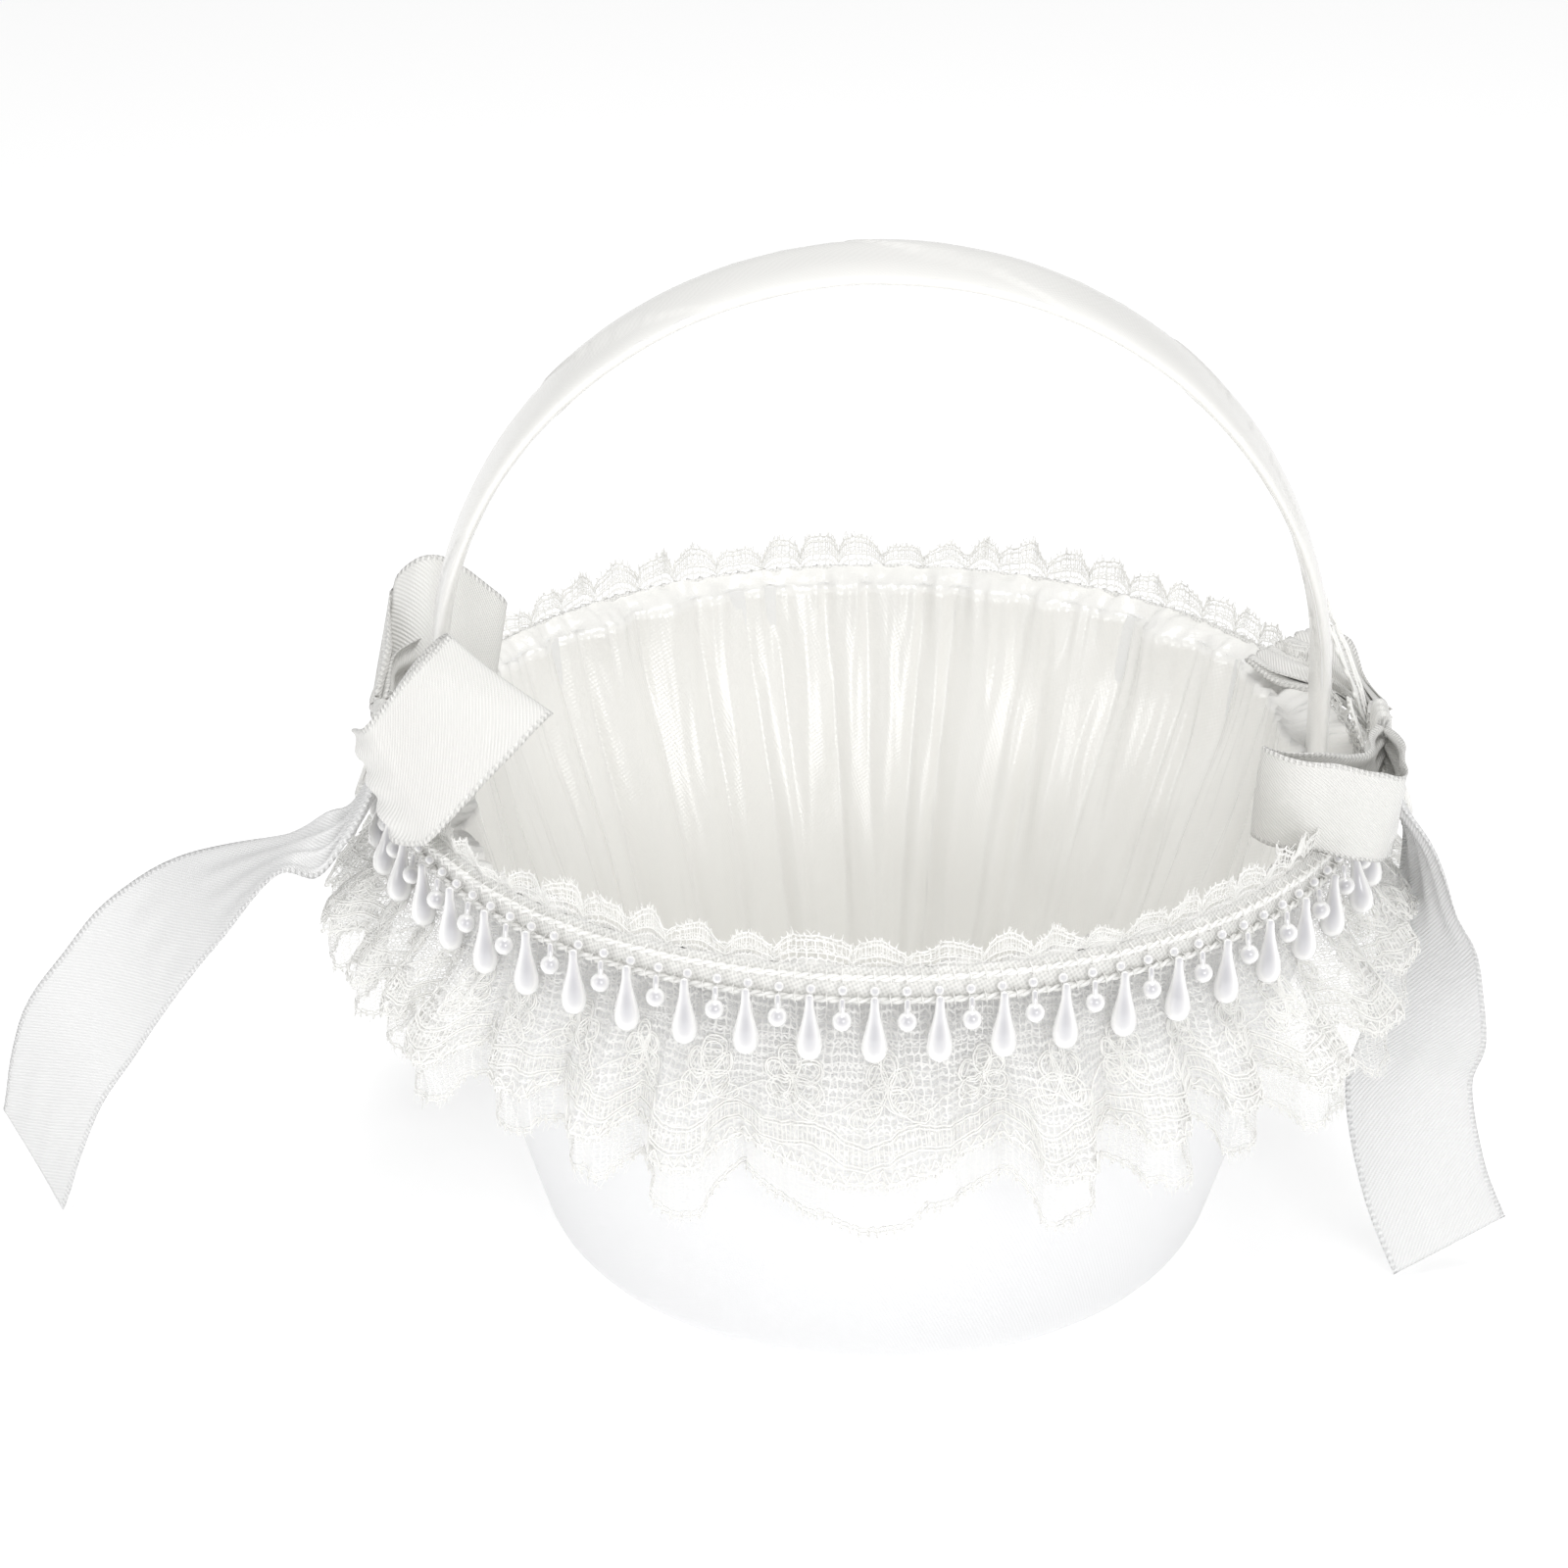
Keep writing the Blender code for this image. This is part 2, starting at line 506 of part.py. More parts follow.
def make_right_bow():
    knot("right_bow_knot", 1)
    overhang = (-0.03, 0.40, -0.915)
    ribbon("right_bow_front_loop", [
        ((0.0010, -0.0045, 0.0000), UPRIGHT, 0.36),
        ((0.0026, -0.0115, -0.0010), (0.0, 0.25, -0.95), 0.75),
        ((-0.0002, -0.0255, -0.0015), overhang, 1.0),
        ((-0.0057, -0.0300, 0.0010), overhang, 1.0),
        ((-0.0142, -0.0320, 0.0035), overhang, 1.0),
        ((-0.0207, -0.0300, 0.0040), overhang, 1.0),
        ((-0.0230, -0.0260, 0.0040), overhang, 1.0),
        ((-0.0202, -0.0205, 0.0025), overhang, 1.0),
        ((-0.0127, -0.0150, 0.0010), (0.0, 0.2, -0.98), 0.95),
        ((-0.0056, -0.0095, 0.0005), (0.0, 0.1, -0.99), 0.65),
        ((-0.0010, -0.0045, 0.0005), UPRIGHT, 0.36)], 1, IVORY)
    flat = (0.75, 0.50, 0.35)
    ribbon("right_bow_back_loop", [
        ((-0.0010, 0.0048, -0.0010), (0.0, 0.0, 1.0), 0.3),
        ((-0.0002, 0.0160, -0.0020), (0.1, 0.0, 1.0), 0.3),
        ((0.0004, 0.0290, -0.0012), (0.3, 0.0, 0.95), 0.3),
        ((-0.0046, 0.0380, -0.0030), (0.75, 0.3, 0.45), 0.5),
        ((-0.0127, 0.0490, -0.0035), flat, 0.95),
        ((-0.0197, 0.0560, -0.0037), flat, 1.0),
        ((-0.0214, 0.0572, -0.0022), flat, 1.0),
        ((-0.0192, 0.0560, -0.0002), flat, 1.0),
        ((-0.0122, 0.0495, 0.0000), flat, 0.95),
        ((-0.0038, 0.0390, -0.0002), (0.75, 0.3, 0.45), 0.45),
        ((0.0024, 0.0290, 0.0004), (0.3, 0.0, 0.95), 0.3),
        ((0.0010, 0.0048, 0.0000), (0.0, 0.0, 1.0), 0.3)], 1, IVORY)
    ribbon("right_bow_tail", [
        ((0.0004, -0.0005, -0.0050), (0.0, -1.0, 0.0), 0.3),
        ((0.0026, -0.0002, -0.0120), (0.0, -1.0, 0.0), 0.36),
        ((FRILL_FLARE - 0.0001, 0.0015, -0.0210), (0.3, -0.95, 0.0), 0.5),
        ((FRILL_FLARE + 0.0028, 0.0048, -0.0330), (0.38, -0.92, 0.0), 0.85),
        ((FRILL_FLARE + 0.0041, 0.0055, -0.0430), (0.65, -0.76, 0.0), 1.0),
        ((FRILL_FLARE + 0.0034, -0.0004, -0.0575), (0.88, -0.45, 0.0), 1.0),
        ((FRILL_FLARE + 0.0006, -0.0035, -0.0675), (1.0, -0.1, 0.05), 1.0),
        ((FRILL_FLARE + 0.0034, -0.0085, -0.0825), (0.97, 0.1, 0.2), 1.0),
        ((FRILL_FLARE + 0.0082, -0.0120, -0.0944), (0.89, 0.2, 0.42), 1.0)], 1, WHITE)
    petal_plate("right_bow_applique", 1, (0.0022, 0.0146, -0.0146), (-0.36, 0.61, 0.70),
                (0.0350, 0.0170, 0.0160, 0.0120, 0.0125, 0.0140), 0.8)


clear_scene()
make_bowl()
make_handle()
make_lace()
make_tape()
make_fixed_pearls()
make_free_pearls()
make_left_bow()
make_right_bow()
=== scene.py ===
# %% [markdown]
# # Flower girl basket
# A small wedding basket: a bowl covered in white satin, a gathered ivory lining, a hoop handle
# wound with satin, two layers of lace under a tape of hanging pearls, and a ribbon bow at each
# end of the handle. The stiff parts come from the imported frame; this lesson dresses them.

# %% The frame
import json
import math
import random

import bmesh
import bpy
from mathutils import Matrix, Vector, noise


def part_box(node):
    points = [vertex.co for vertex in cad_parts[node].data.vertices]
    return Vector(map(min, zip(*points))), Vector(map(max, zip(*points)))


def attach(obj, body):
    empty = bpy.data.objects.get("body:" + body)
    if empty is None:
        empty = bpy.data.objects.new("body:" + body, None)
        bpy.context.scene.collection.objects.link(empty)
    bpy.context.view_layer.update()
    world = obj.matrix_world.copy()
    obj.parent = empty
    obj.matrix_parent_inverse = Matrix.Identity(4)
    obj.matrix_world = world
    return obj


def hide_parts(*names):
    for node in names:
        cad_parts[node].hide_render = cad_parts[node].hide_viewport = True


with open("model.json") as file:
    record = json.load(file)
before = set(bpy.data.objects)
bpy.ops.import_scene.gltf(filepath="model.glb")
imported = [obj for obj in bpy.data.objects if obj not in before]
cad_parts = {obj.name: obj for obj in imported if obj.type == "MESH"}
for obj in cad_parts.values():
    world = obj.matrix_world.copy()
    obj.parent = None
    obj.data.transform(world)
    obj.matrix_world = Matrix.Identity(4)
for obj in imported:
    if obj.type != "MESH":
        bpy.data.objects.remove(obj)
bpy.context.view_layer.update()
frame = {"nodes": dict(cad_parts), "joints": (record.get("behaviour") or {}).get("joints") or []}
BODY = "basket"

# %% [markdown]
# The camera stands in front of the basket and looks down into it. It stands well back with a
# long lens, so the front and the back of the rim keep nearly the same width.

# %% Camera
camera_data = bpy.data.cameras.new("camera")
camera_data.lens = 112.5
camera_data.sensor_width = 36.0
camera = bpy.data.objects.new("camera", camera_data)
camera.location = (-0.0164, -0.7618, 0.4448)
camera.rotation_euler = (math.radians(90.0 - 25.35), 0.0, 0.0)
bpy.context.scene.collection.objects.link(camera)
bpy.context.scene.camera = camera
bpy.context.scene.view_settings.view_transform = "Standard"

# %% [markdown]
# White satin on a white table needs light from everywhere, and one side a little stronger so
# that the folds still show. The world gives the soft fill, and three large lamps give the
# long highlights that satin is known by.

# %% Light and floor
world = bpy.data.worlds.new("studio")
world.use_nodes = True
world.node_tree.nodes["Background"].inputs["Color"].default_value = (1.0, 1.0, 1.0, 1.0)
world.node_tree.nodes["Background"].inputs["Strength"].default_value = 0.46
bpy.context.scene.world = world


def lamp(name, place, aim, size, power):
    data = bpy.data.lights.new(name, "AREA")
    data.shape = "RECTANGLE"
    data.size, data.size_y = size
    data.energy = power
    obj = bpy.data.objects.new(name, data)
    obj.location = place
    obj.rotation_euler = (Vector(aim) - Vector(place)).to_track_quat("-Z", "Y").to_euler()
    bpy.context.scene.collection.objects.link(obj)
    return obj


lamp("overhead softbox", (0.10, -0.15, 1.10), (0.0, 0.0, 0.06), (0.60, 0.40), 4.6)
lamp("left softbox", (-0.80, -0.75, 0.50), (0.0, 0.0, 0.07), (0.30, 0.60), 1.9)
lamp("front softbox", (0.35, -1.05, 0.50), (0.0, 0.0, 0.06), (0.50, 0.50), 3.0)

floor_bm = bmesh.new()
bmesh.ops.create_grid(floor_bm, x_segments=1, y_segments=1, size=3.0)
floor_mesh = bpy.data.meshes.new("floor")
floor_bm.to_mesh(floor_mesh)
floor_bm.free()
floor = bpy.data.objects.new("floor", floor_mesh)
bpy.context.scene.collection.objects.link(floor)
paper = bpy.data.materials.new("white paper sweep")
paper.use_nodes = True
paper_shader = paper.node_tree.nodes["Principled BSDF"]
paper_shader.inputs["Base Color"].default_value = (0.95, 0.95, 0.95, 1.0)
paper_shader.inputs["Roughness"].default_value = 0.9
paper_shader.inputs["Emission Color"].default_value = (1.0, 1.0, 1.0, 1.0)
paper_shader.inputs["Emission Strength"].default_value = 0.36
floor.data.materials.append(paper)

# %% [markdown]
# Every finish here is a Principled material whose colour, roughness and bump come from a few
# nodes. A small helper builds one, and the weave patterns are node groups, made once.

# %% Material helpers


def maths(tree, operation, a, b=None):
    made = tree.nodes.new("ShaderNodeMath")
    made.operation = operation
    for socket, value in zip(made.inputs, (a, b)):
        if isinstance(value, bpy.types.NodeSocket):
            tree.links.new(value, socket)
        elif value is not None:
            socket.default_value = value
    return made.outputs[0]


def finish_of(name, colour, roughness, **values):
    """A material with a Principled shader set to plain values."""
    made = bpy.data.materials.new(name)
    made.use_nodes = True
    shader = made.node_tree.nodes["Principled BSDF"]
    shader.inputs["Base Color"].default_value = (*colour, 1.0)
    shader.inputs["Roughness"].default_value = roughness
    for key, value in values.items():
        shader.inputs[key.replace("_", " ")].default_value = value
    return made, made.node_tree, shader


def bumped(tree, shader, height, distance, strength=1.0):
    bump = tree.nodes.new("ShaderNodeBump")
    bump.inputs["Strength"].default_value = strength
    bump.inputs["Distance"].default_value = distance
    tree.links.new(height, bump.inputs["Height"])
    tree.links.new(bump.outputs["Normal"], shader.inputs["Normal"])
    return bump


# %% [markdown]
# Satin shows its weave only close up: long floating threads crossed by fine ribs. The weave
# group takes a position and gives a height of two crossed sets of fine waves.

# %% Weave group


def weave_group():
    group = bpy.data.node_groups.new("satin weave", "ShaderNodeTree")
    group.interface.new_socket("Vector", in_out="INPUT", socket_type="NodeSocketVector")
    group.interface.new_socket("Threads", in_out="INPUT", socket_type="NodeSocketFloat")
    group.interface.new_socket("Height", in_out="OUTPUT", socket_type="NodeSocketFloat")
    ins = group.nodes.new("NodeGroupInput")
    outs = group.nodes.new("NodeGroupOutput")
    split = group.nodes.new("ShaderNodeSeparateXYZ")
    group.links.new(ins.outputs["Vector"], split.inputs[0])
    x = maths(group, "MULTIPLY", split.outputs["X"], ins.outputs["Threads"])
    y = maths(group, "MULTIPLY", split.outputs["Y"], ins.outputs["Threads"])
    warp = maths(group, "SINE", maths(group, "ADD", x, maths(group, "MULTIPLY", y, 0.5)))
    weft = maths(group, "SINE", maths(group, "SUBTRACT", y, maths(group, "MULTIPLY", x, 0.5)))
    both = maths(group, "ADD", maths(group, "MULTIPLY", warp, 0.5),
                 maths(group, "MULTIPLY", weft, 0.5))
    group.links.new(both, outs.inputs["Height"])
    return group


WEAVE = weave_group()


def satin(name, colour, roughness, threads, depth, streak=0.015, vector="UV"):
    made, tree, shader = finish_of(name, colour, roughness, Sheen_Weight=0.15,
                                   Sheen_Roughness=0.4, Anisotropic=0.45,
                                   Specular_IOR_Level=0.9)
    place = tree.nodes.new("ShaderNodeTexCoord")
    weave = tree.nodes.new("ShaderNodeGroup")
    weave.node_tree = WEAVE
    weave.inputs["Threads"].default_value = threads
    tree.links.new(place.outputs[vector], weave.inputs["Vector"])
    bumped(tree, shader, weave.outputs["Height"], depth)
    cloud = tree.nodes.new("ShaderNodeTexNoise")
    cloud.inputs["Scale"].default_value = 55.0
    cloud.inputs["Detail"].default_value = 3.0
    tree.links.new(place.outputs["Object"], cloud.inputs["Vector"])
    spread = tree.nodes.new("ShaderNodeMapRange")
    spread.inputs["To Min"].default_value = roughness - streak
    spread.inputs["To Max"].default_value = roughness + streak
    tree.links.new(cloud.outputs["Fac"], spread.inputs["Value"])
    tree.links.new(spread.outputs["Result"], shader.inputs["Roughness"])
    tint = tree.nodes.new("ShaderNodeMix")
    tint.data_type = "RGBA"
    tint.inputs["A"].default_value = (*[c * 0.985 for c in colour], 1.0)
    tint.inputs["B"].default_value = (*[min(1.0, c * 1.005) for c in colour], 1.0)
    tree.links.new(cloud.outputs["Fac"], tint.inputs["Factor"])
    tree.links.new(tint.outputs["Result"], shader.inputs["Base Color"])
    return made


WHITE_SATIN = satin("white satin", (0.845, 0.847, 0.855), 0.36, 9000.0, 0.00001)
IVORY_SATIN = satin("ivory satin", (0.965, 0.958, 0.930), 0.21, 9000.0, 0.00001)
print("finishes:", len(bpy.data.materials))

# %% [markdown]
# Most of the basket is cloth, and cloth starts as a flat grid. The helper makes a grid with
# bmesh, then sends each point from its flat place to its place on the basket. The UV map keeps
# the flat place in metres, so every pattern has its real size.

# %% Cloth helper


def placed(mesh, name, material, body):
    """An object for a mesh, smooth, with its finish, riding on a body."""
    mesh.materials.clear()
    mesh.materials.append(material)
    mesh.shade_smooth()
    obj = bpy.data.objects.new(name, mesh)
    bpy.context.scene.collection.objects.link(obj)
    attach(obj, body)
    return obj


def cloth(name, cells, flat, place, material, closed=False, wall=0.0, body=BODY):
    """A grid of cells sent by place(u, v), u and v from 0 to 1, with UVs in metres of cloth."""
    bm = bmesh.new()
    layer = bm.loops.layers.uv.new("UVMap")
    bmesh.ops.create_grid(bm, x_segments=cells[0], y_segments=cells[1], size=0.5, calc_uvs=True)
    for face in bm.faces:
        for loop in face.loops:
            x, y, _ = loop.vert.co
            loop[layer].uv = ((x + 0.5) * flat[0], (y + 0.5) * flat[1])
    for vert in bm.verts:
        vert.co = place(vert.co.x + 0.5, vert.co.y + 0.5)
    if closed:
        bmesh.ops.remove_doubles(bm, verts=bm.verts, dist=1e-6)
    mesh = bpy.data.meshes.new(name)
    bm.to_mesh(mesh)
    bm.free()
    obj = placed(mesh, name, material, body)
    if wall:
        thick = obj.modifiers.new("cloth thickness", "SOLIDIFY")
        thick.thickness = wall
        thick.offset = 0.0
    return obj


def around(angle, radius, level):
    """A place round the basket: angle 0 is the front, and it grows towards +X."""
    return Vector((radius * math.sin(angle), -radius * math.cos(angle), level))


def bell(x, width):
    return math.exp(-(x / width) ** 2)


def turn_between(a, b):
    return math.remainder(a - b, 2.0 * math.pi)


def smooth(x):
    x = min(1.0, max(0.0, x))
    return x * x * (3.0 - 2.0 * x)


# %% [markdown]
# The bowl's side is one soft curve: a rounded bottom edge and a side that opens gently. The
# same curve, moved in or out, places the cover, the lining and the lace.

# %% Bowl profile
cover_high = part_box("outer_satin_cover")[1]
RIM_RADIUS = cover_high.x
RIM_HEIGHT = cover_high.z
BASE_RADIUS = 0.0475
BASE_FILLET = 0.0120
FILLET_SWEEP = math.radians(72.0)
SIDE_FULLNESS = 0.46


def bowl_side(t, inset=0.0):
    """(radius, level) along the side: t 0 at the flat underside, 1 at the rim."""
    share = 0.14
    if t < share:
        a = FILLET_SWEEP * t / share
        radius = BASE_FILLET - inset
        return BASE_RADIUS + radius * math.sin(a), BASE_FILLET - radius * math.cos(a)
    t = (t - share) / (1.0 - share)
    start = Vector((BASE_RADIUS + BASE_FILLET * math.sin(FILLET_SWEEP),
                    BASE_FILLET * (1.0 - math.cos(FILLET_SWEEP))))
    rise = SIDE_FULLNESS * (RIM_HEIGHT - start.y)
    control = start + Vector((rise / math.tan(FILLET_SWEEP), rise))
    end = Vector((RIM_RADIUS, RIM_HEIGHT))
    point = (1 - t) ** 2 * start + 2 * t * (1 - t) * control + t ** 2 * end
    along = ((1 - t) * (control - start) + t * (end - control)).normalized()
    point -= inset * Vector((along.y, -along.x))
    return point.x, point.y


def side_radius(level, inset=0.0):
    """Radius of the side at a level, by halving."""
    low, high = 0.0, 1.0
    for _ in range(24):
        t = 0.5 * (low + high)
        if bowl_side(t, inset)[1] < level:
            low = t
        else:
            high = t
    return bowl_side(0.5 * (low + high), inset)[0]


print("rim radius", round(RIM_RADIUS, 4), "rim height", round(RIM_HEIGHT, 4))

# %% [markdown]
# The outer satin is stretched over the bowl and glued, so it has no folds, only faint upright
# pulls that run down from the rim. A very low ripple on the grid gives them.

# %% Outer satin cover


def cover_place(u, v):
    angle = 2.0 * math.pi * u
    radius, level = bowl_side(v)
    pull = noise.noise(Vector((math.cos(angle) * 9.0, math.sin(angle) * 9.0, v * 0.6)))
    fine = noise.noise(Vector((math.cos(angle) * 40.0, math.sin(angle) * 40.0, v * 1.5)))
    lift = (0.00022 * pull + 0.00006 * fine) * smooth(v * 1.6)
    return around(angle, radius + lift, max(level, 0.0))


COVER_FLAT = (2.0 * math.pi * 0.070, 0.098)
cover = cloth("satin_cover_cloth", (360, 60), COVER_FLAT, cover_place,
              WHITE_SATIN, closed=True, wall=0.0004)
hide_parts("outer_satin_cover")
print("cover faces:", len(cover.data.polygons))

# %% [markdown]
# The lining is loose satin gathered at the rim and drawn in at the floor. Its folds are upright
# ridges of uneven width and depth that drift sideways a little as they go down, and close to
# the rim each big fold breaks into small puckers. The top edge rolls over the bowl's rim.

# %% Lining folds
LINING_INSET = RIM_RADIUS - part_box("satin_lining")[1].x + 0.0006
fold_dice = random.Random(7)
LINING_FOLDS = []
step_angle = -math.pi
while step_angle < math.pi - 0.05:
    wide = fold_dice.uniform(0.06, 0.20)
    LINING_FOLDS.append((step_angle + wide / 2, wide * fold_dice.uniform(0.50, 0.62),
                         fold_dice.uniform(0.45, 1.25) * (0.5 + 3.6 * wide),
                         fold_dice.uniform(-0.09, 0.09)))
    step_angle += wide


def fold_depth(angle, down):
    """How far the folds stand in from the wall, for down 0 at the rim to 1 at the floor."""
    total = 0.0
    for centre, width, height, drift in LINING_FOLDS:
        off = turn_between(angle, centre + drift * down)
        share = off / width + 0.25 * (1.0 if drift > 0 else -1.0)
        if abs(share) < 1.0:
            total = max(total, height * math.cos(0.5 * math.pi * share) ** 0.75)
    body = total * 0.0030 * (1.0 - 0.55 * down)
    turning = Vector((math.cos(angle), math.sin(angle), 0.0))
    crush = noise.noise(turning * 14.0 + Vector((0, 0, down * 2.4)))
    pucker = noise.noise(turning * 38.0 + Vector((0, 0, down * 5.0)))
    fine = noise.noise(turning * 75.0 + Vector((0, 0, down * 9.0)))
    near_rim = math.exp(-down / 0.12)
    pulled = bell(turn_between(angle, 2.45), 0.42) * noise.noise(
        turning * 12.0 + Vector((0, 0, down * 5.0 + 4.0 * turning.x)))
    return body + 0.0009 * crush + 0.0016 * pulled + (0.0009 * pucker + 0.0004 * fine) * (
        0.2 + near_rim)


def lining_inset(angle, down):
    """The lining lies on the bowl at the rim, except where a handle leg passes behind it."""
    side = min(abs(turn_between(angle, math.pi / 2)), abs(turn_between(angle, -math.pi / 2)))
    free = 0.0022 + (LINING_INSET - 0.0022) * smooth(down / 0.55)
    return free + (LINING_INSET - free) * smooth(1.6 - side / 0.30)


def lining_place(u, v):
    angle = 2.0 * math.pi * u - math.pi
    roll = 0.07
    if v < roll:
        t = v / roll
        inner = bowl_side(1.0, lining_inset(angle, 0.0))[0]
        outer = RIM_RADIUS + 0.0009
        radius = outer + (inner - outer) * t
        level = RIM_HEIGHT + (0.0012 + 0.0010 * math.sin(math.pi * (0.25 + 0.75 * t))) * (1.0 - t)
        lift = fold_depth(angle, 0.0) * t ** 0.6
        wave = 0.0009 * noise.noise(Vector((math.cos(angle), math.sin(angle), 0.3 * t)) * 34.0)
        puff = 0.4 * lift * math.sin(math.pi * t) - 0.0010 * t
        return around(angle, radius - lift, level + wave + puff)
    down = (v - roll) / (1.0 - roll)
    radius, level = bowl_side(1.0 - 0.985 * down, lining_inset(angle, down))
    level = max(level, 0.0110)
    return around(angle, radius - fold_depth(angle, down), level)


LINING_FLAT = (0.50, 0.098)
lining = cloth("gathered_lining", (900, 56), LINING_FLAT, lining_place, IVORY_SATIN,
               closed=True)
print("lining folds:", len(LINING_FOLDS), "faces:", len(lining.data.polygons))
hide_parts("satin_lining")

# %% [markdown]
# The floor is a card covered with the same satin. Its CAD disc has the right shape, so it only
# needs the finish. The bowl and the card under it are seen from below.

# %% Floor and underside
card, card_tree, card_shader = finish_of("covered card", (0.90, 0.90, 0.89), 0.6)
card_place = card_tree.nodes.new("ShaderNodeTexCoord")
card_grain = card_tree.nodes.new("ShaderNodeTexNoise")
card_grain.inputs["Scale"].default_value = 1800.0
card_tree.links.new(card_place.outputs["Object"], card_grain.inputs["Vector"])
bumped(card_tree, card_shader, card_grain.outputs["Fac"], 0.00005)
FLOOR_SATIN = satin("floor satin", (0.935, 0.928, 0.900), 0.30, 9000.0, 0.00001, vector="Object")


def dress(node_name, material):
    data = frame["nodes"][node_name].data
    data.materials.clear()
    data.materials.append(material)


dress("floor_disc", FLOOR_SATIN)
dress("base_disc", card)
dress("basket_shell", card)
dress("handle_core", card)

# %% [markdown]
# The handle is a stiff flat strip wound with satin. Each turn of the satin overlaps the last
# one, which leaves a low slanting step across the strip every few centimetres, and small
# tension creases beside it.

# %% Handle line
wrap_low, wrap_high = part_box("handle_satin_wrap")
HOOP_THICK = 0.0030
HOOP_WIDE = wrap_high.y - wrap_low.y
HOOP_TOP = wrap_high.z - HOOP_THICK / 2
HOOP_SPAN = 0.0749
HOOP_SPRING = 0.1050
HOOP_TUCK = wrap_low.z
STRIP_INSET = 0.0053
HOOP_STEPS = 300


def hoop_points():
    leg = []
    for i in range(7):
        level = HOOP_TUCK + (RIM_HEIGHT - HOOP_TUCK) * i / 6
        leg.append(Vector((side_radius(level, STRIP_INSET), 0.0, level)))
    arch = []
    for i in range(1, 120):
        a = math.pi * i / 120
        arch.append(Vector((HOOP_SPAN * math.cos(a), 0.0,
                            HOOP_SPRING + (HOOP_TOP - HOOP_SPRING) * math.sin(a))))
    mirrored = [Vector((-p.x, 0.0, p.z)) for p in leg]
    return mirrored + arch[::-1] + leg[::-1]


def even_steps(points, count):
    """The same line cut into equal steps."""
    run = [0.0]
    for a, b in zip(points, points[1:]):
        run.append(run[-1] + (b - a).length)
    out, k = [], 0
    for i in range(count + 1):
        want = run[-1] * i / count
        while k < len(run) - 2 and run[k + 1] < want:
            k += 1
        t = (want - run[k]) / max(run[k + 1] - run[k], 1e-9)
        out.append(points[k].lerp(points[k + 1], t))
    return out, run[-1]


HOOP, HOOP_LENGTH = even_steps(hoop_points(), HOOP_STEPS)
WRAP_PITCH = 0.058
print("hoop length", round(HOOP_LENGTH, 3))

# %% [markdown]
# The winding is one tube of cloth round that line: nearly flat on its two faces, tight at the
# edges, and a little thicker where a turn ends on top of the last one.

# %% Handle wrap


def wrap_place(u, v):
    i = min(int(u * HOOP_STEPS), HOOP_STEPS - 1)
    point = HOOP[i].lerp(HOOP[i + 1], u * HOOP_STEPS - i)
    along = (HOOP[min(i + 2, HOOP_STEPS)] - HOOP[max(i - 1, 0)]).normalized()
    outward = Vector((0, 1, 0)).cross(along)
    phi = 2.0 * math.pi * v
    c, s = math.cos(phi), math.sin(phi)
    across = math.copysign(abs(c) ** 0.55, c)
    up = math.copysign(abs(s) ** 0.75, s)
    turn = u * HOOP_LENGTH / WRAP_PITCH + 0.32 * across + (0.5 if s < 0 else 0.0) + 0.36
    share = turn - math.floor(turn)
    end = smooth((1.0 - share) / 0.02) if share > 0.98 else 1.0
    lap = 0.00034 * (1.0 - smooth(share / 0.9)) * end
    crease = 0.00012 * noise.noise(Vector((u * 34.0, across * 1.2, math.copysign(1.0, s) * 3.0)))
    thick = 0.0011 + 0.00022 * (1.0 - across * across) + lap + crease
    return point + Vector((0, 1, 0)) * (HOOP_WIDE / 2 - 0.0003) * across + outward * thick * up


WRAP_FLAT = (HOOP_LENGTH, 0.0445)
wrap = cloth("handle_satin_winding", (420, 56), WRAP_FLAT, wrap_place, IVORY_SATIN,
             closed=True)
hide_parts("handle_satin_wrap")

# %% [markdown]
# A pearl bead is white plastic with a thin shiny coat. Its colour holds a painted reflection: where
# it faces the camera it is painted a darker, slightly violet grey, and towards its edge it turns
# white, which Layer Weight gives.

# %% Pearl finish
PEARL, pearl_tree, pearl_shader = finish_of("pearl coat", (0.93, 0.92, 0.90), 0.14,
                                            Coat_Weight=1.0, Coat_Roughness=0.05,
                                            Sheen_Weight=0.2, Specular_IOR_Level=0.7)
# Painted reflection: the side facing the camera is painted dark violet-grey and the edge white, in
# place of a dark room mirrored in the bead.
facing = pearl_tree.nodes.new("ShaderNodeLayerWeight")
facing.inputs["Blend"].default_value = 0.35
pearl_painted_reflection_mix = pearl_tree.nodes.new("ShaderNodeMix")
pearl_painted_reflection_mix.data_type = "RGBA"
pearl_painted_reflection_mix.inputs["A"].default_value = (0.62, 0.615, 0.64, 1.0)
pearl_painted_reflection_mix.inputs["B"].default_value = (0.97, 0.965, 0.955, 1.0)
core = pearl_tree.nodes.new("ShaderNodeMapRange")
core.inputs["From Min"].default_value = 0.02
core.inputs["From Max"].default_value = 0.22
pearl_tree.links.new(facing.outputs["Facing"], core.inputs["Value"])
pearl_tree.links.new(core.outputs["Result"], pearl_painted_reflection_mix.inputs["Factor"])
pearl_tree.links.new(pearl_painted_reflection_mix.outputs["Result"], pearl_shader.inputs["Base Color"])
THREAD, thread_tree, thread_shader = finish_of("lace thread", (0.985, 0.98, 0.955), 0.60,
                                               Sheen_Weight=0.3)
thread_place = thread_tree.nodes.new("ShaderNodeTexCoord")
thread_twist = thread_tree.nodes.new("ShaderNodeTexNoise")
thread_twist.inputs["Scale"].default_value = 4000.0
thread_tree.links.new(thread_place.outputs["Object"], thread_twist.inputs["Vector"])
bumped(thread_tree, thread_shader, thread_twist.outputs["Fac"], 0.00008)

# %% [markdown]
# The fringe alternates long and round pearls on short threads. Each outline is spun round its
# own axis. The long pearls of the front swing on the CAD hinges, so each rides on its body; all
# the others are sewn down and ride with the basket.

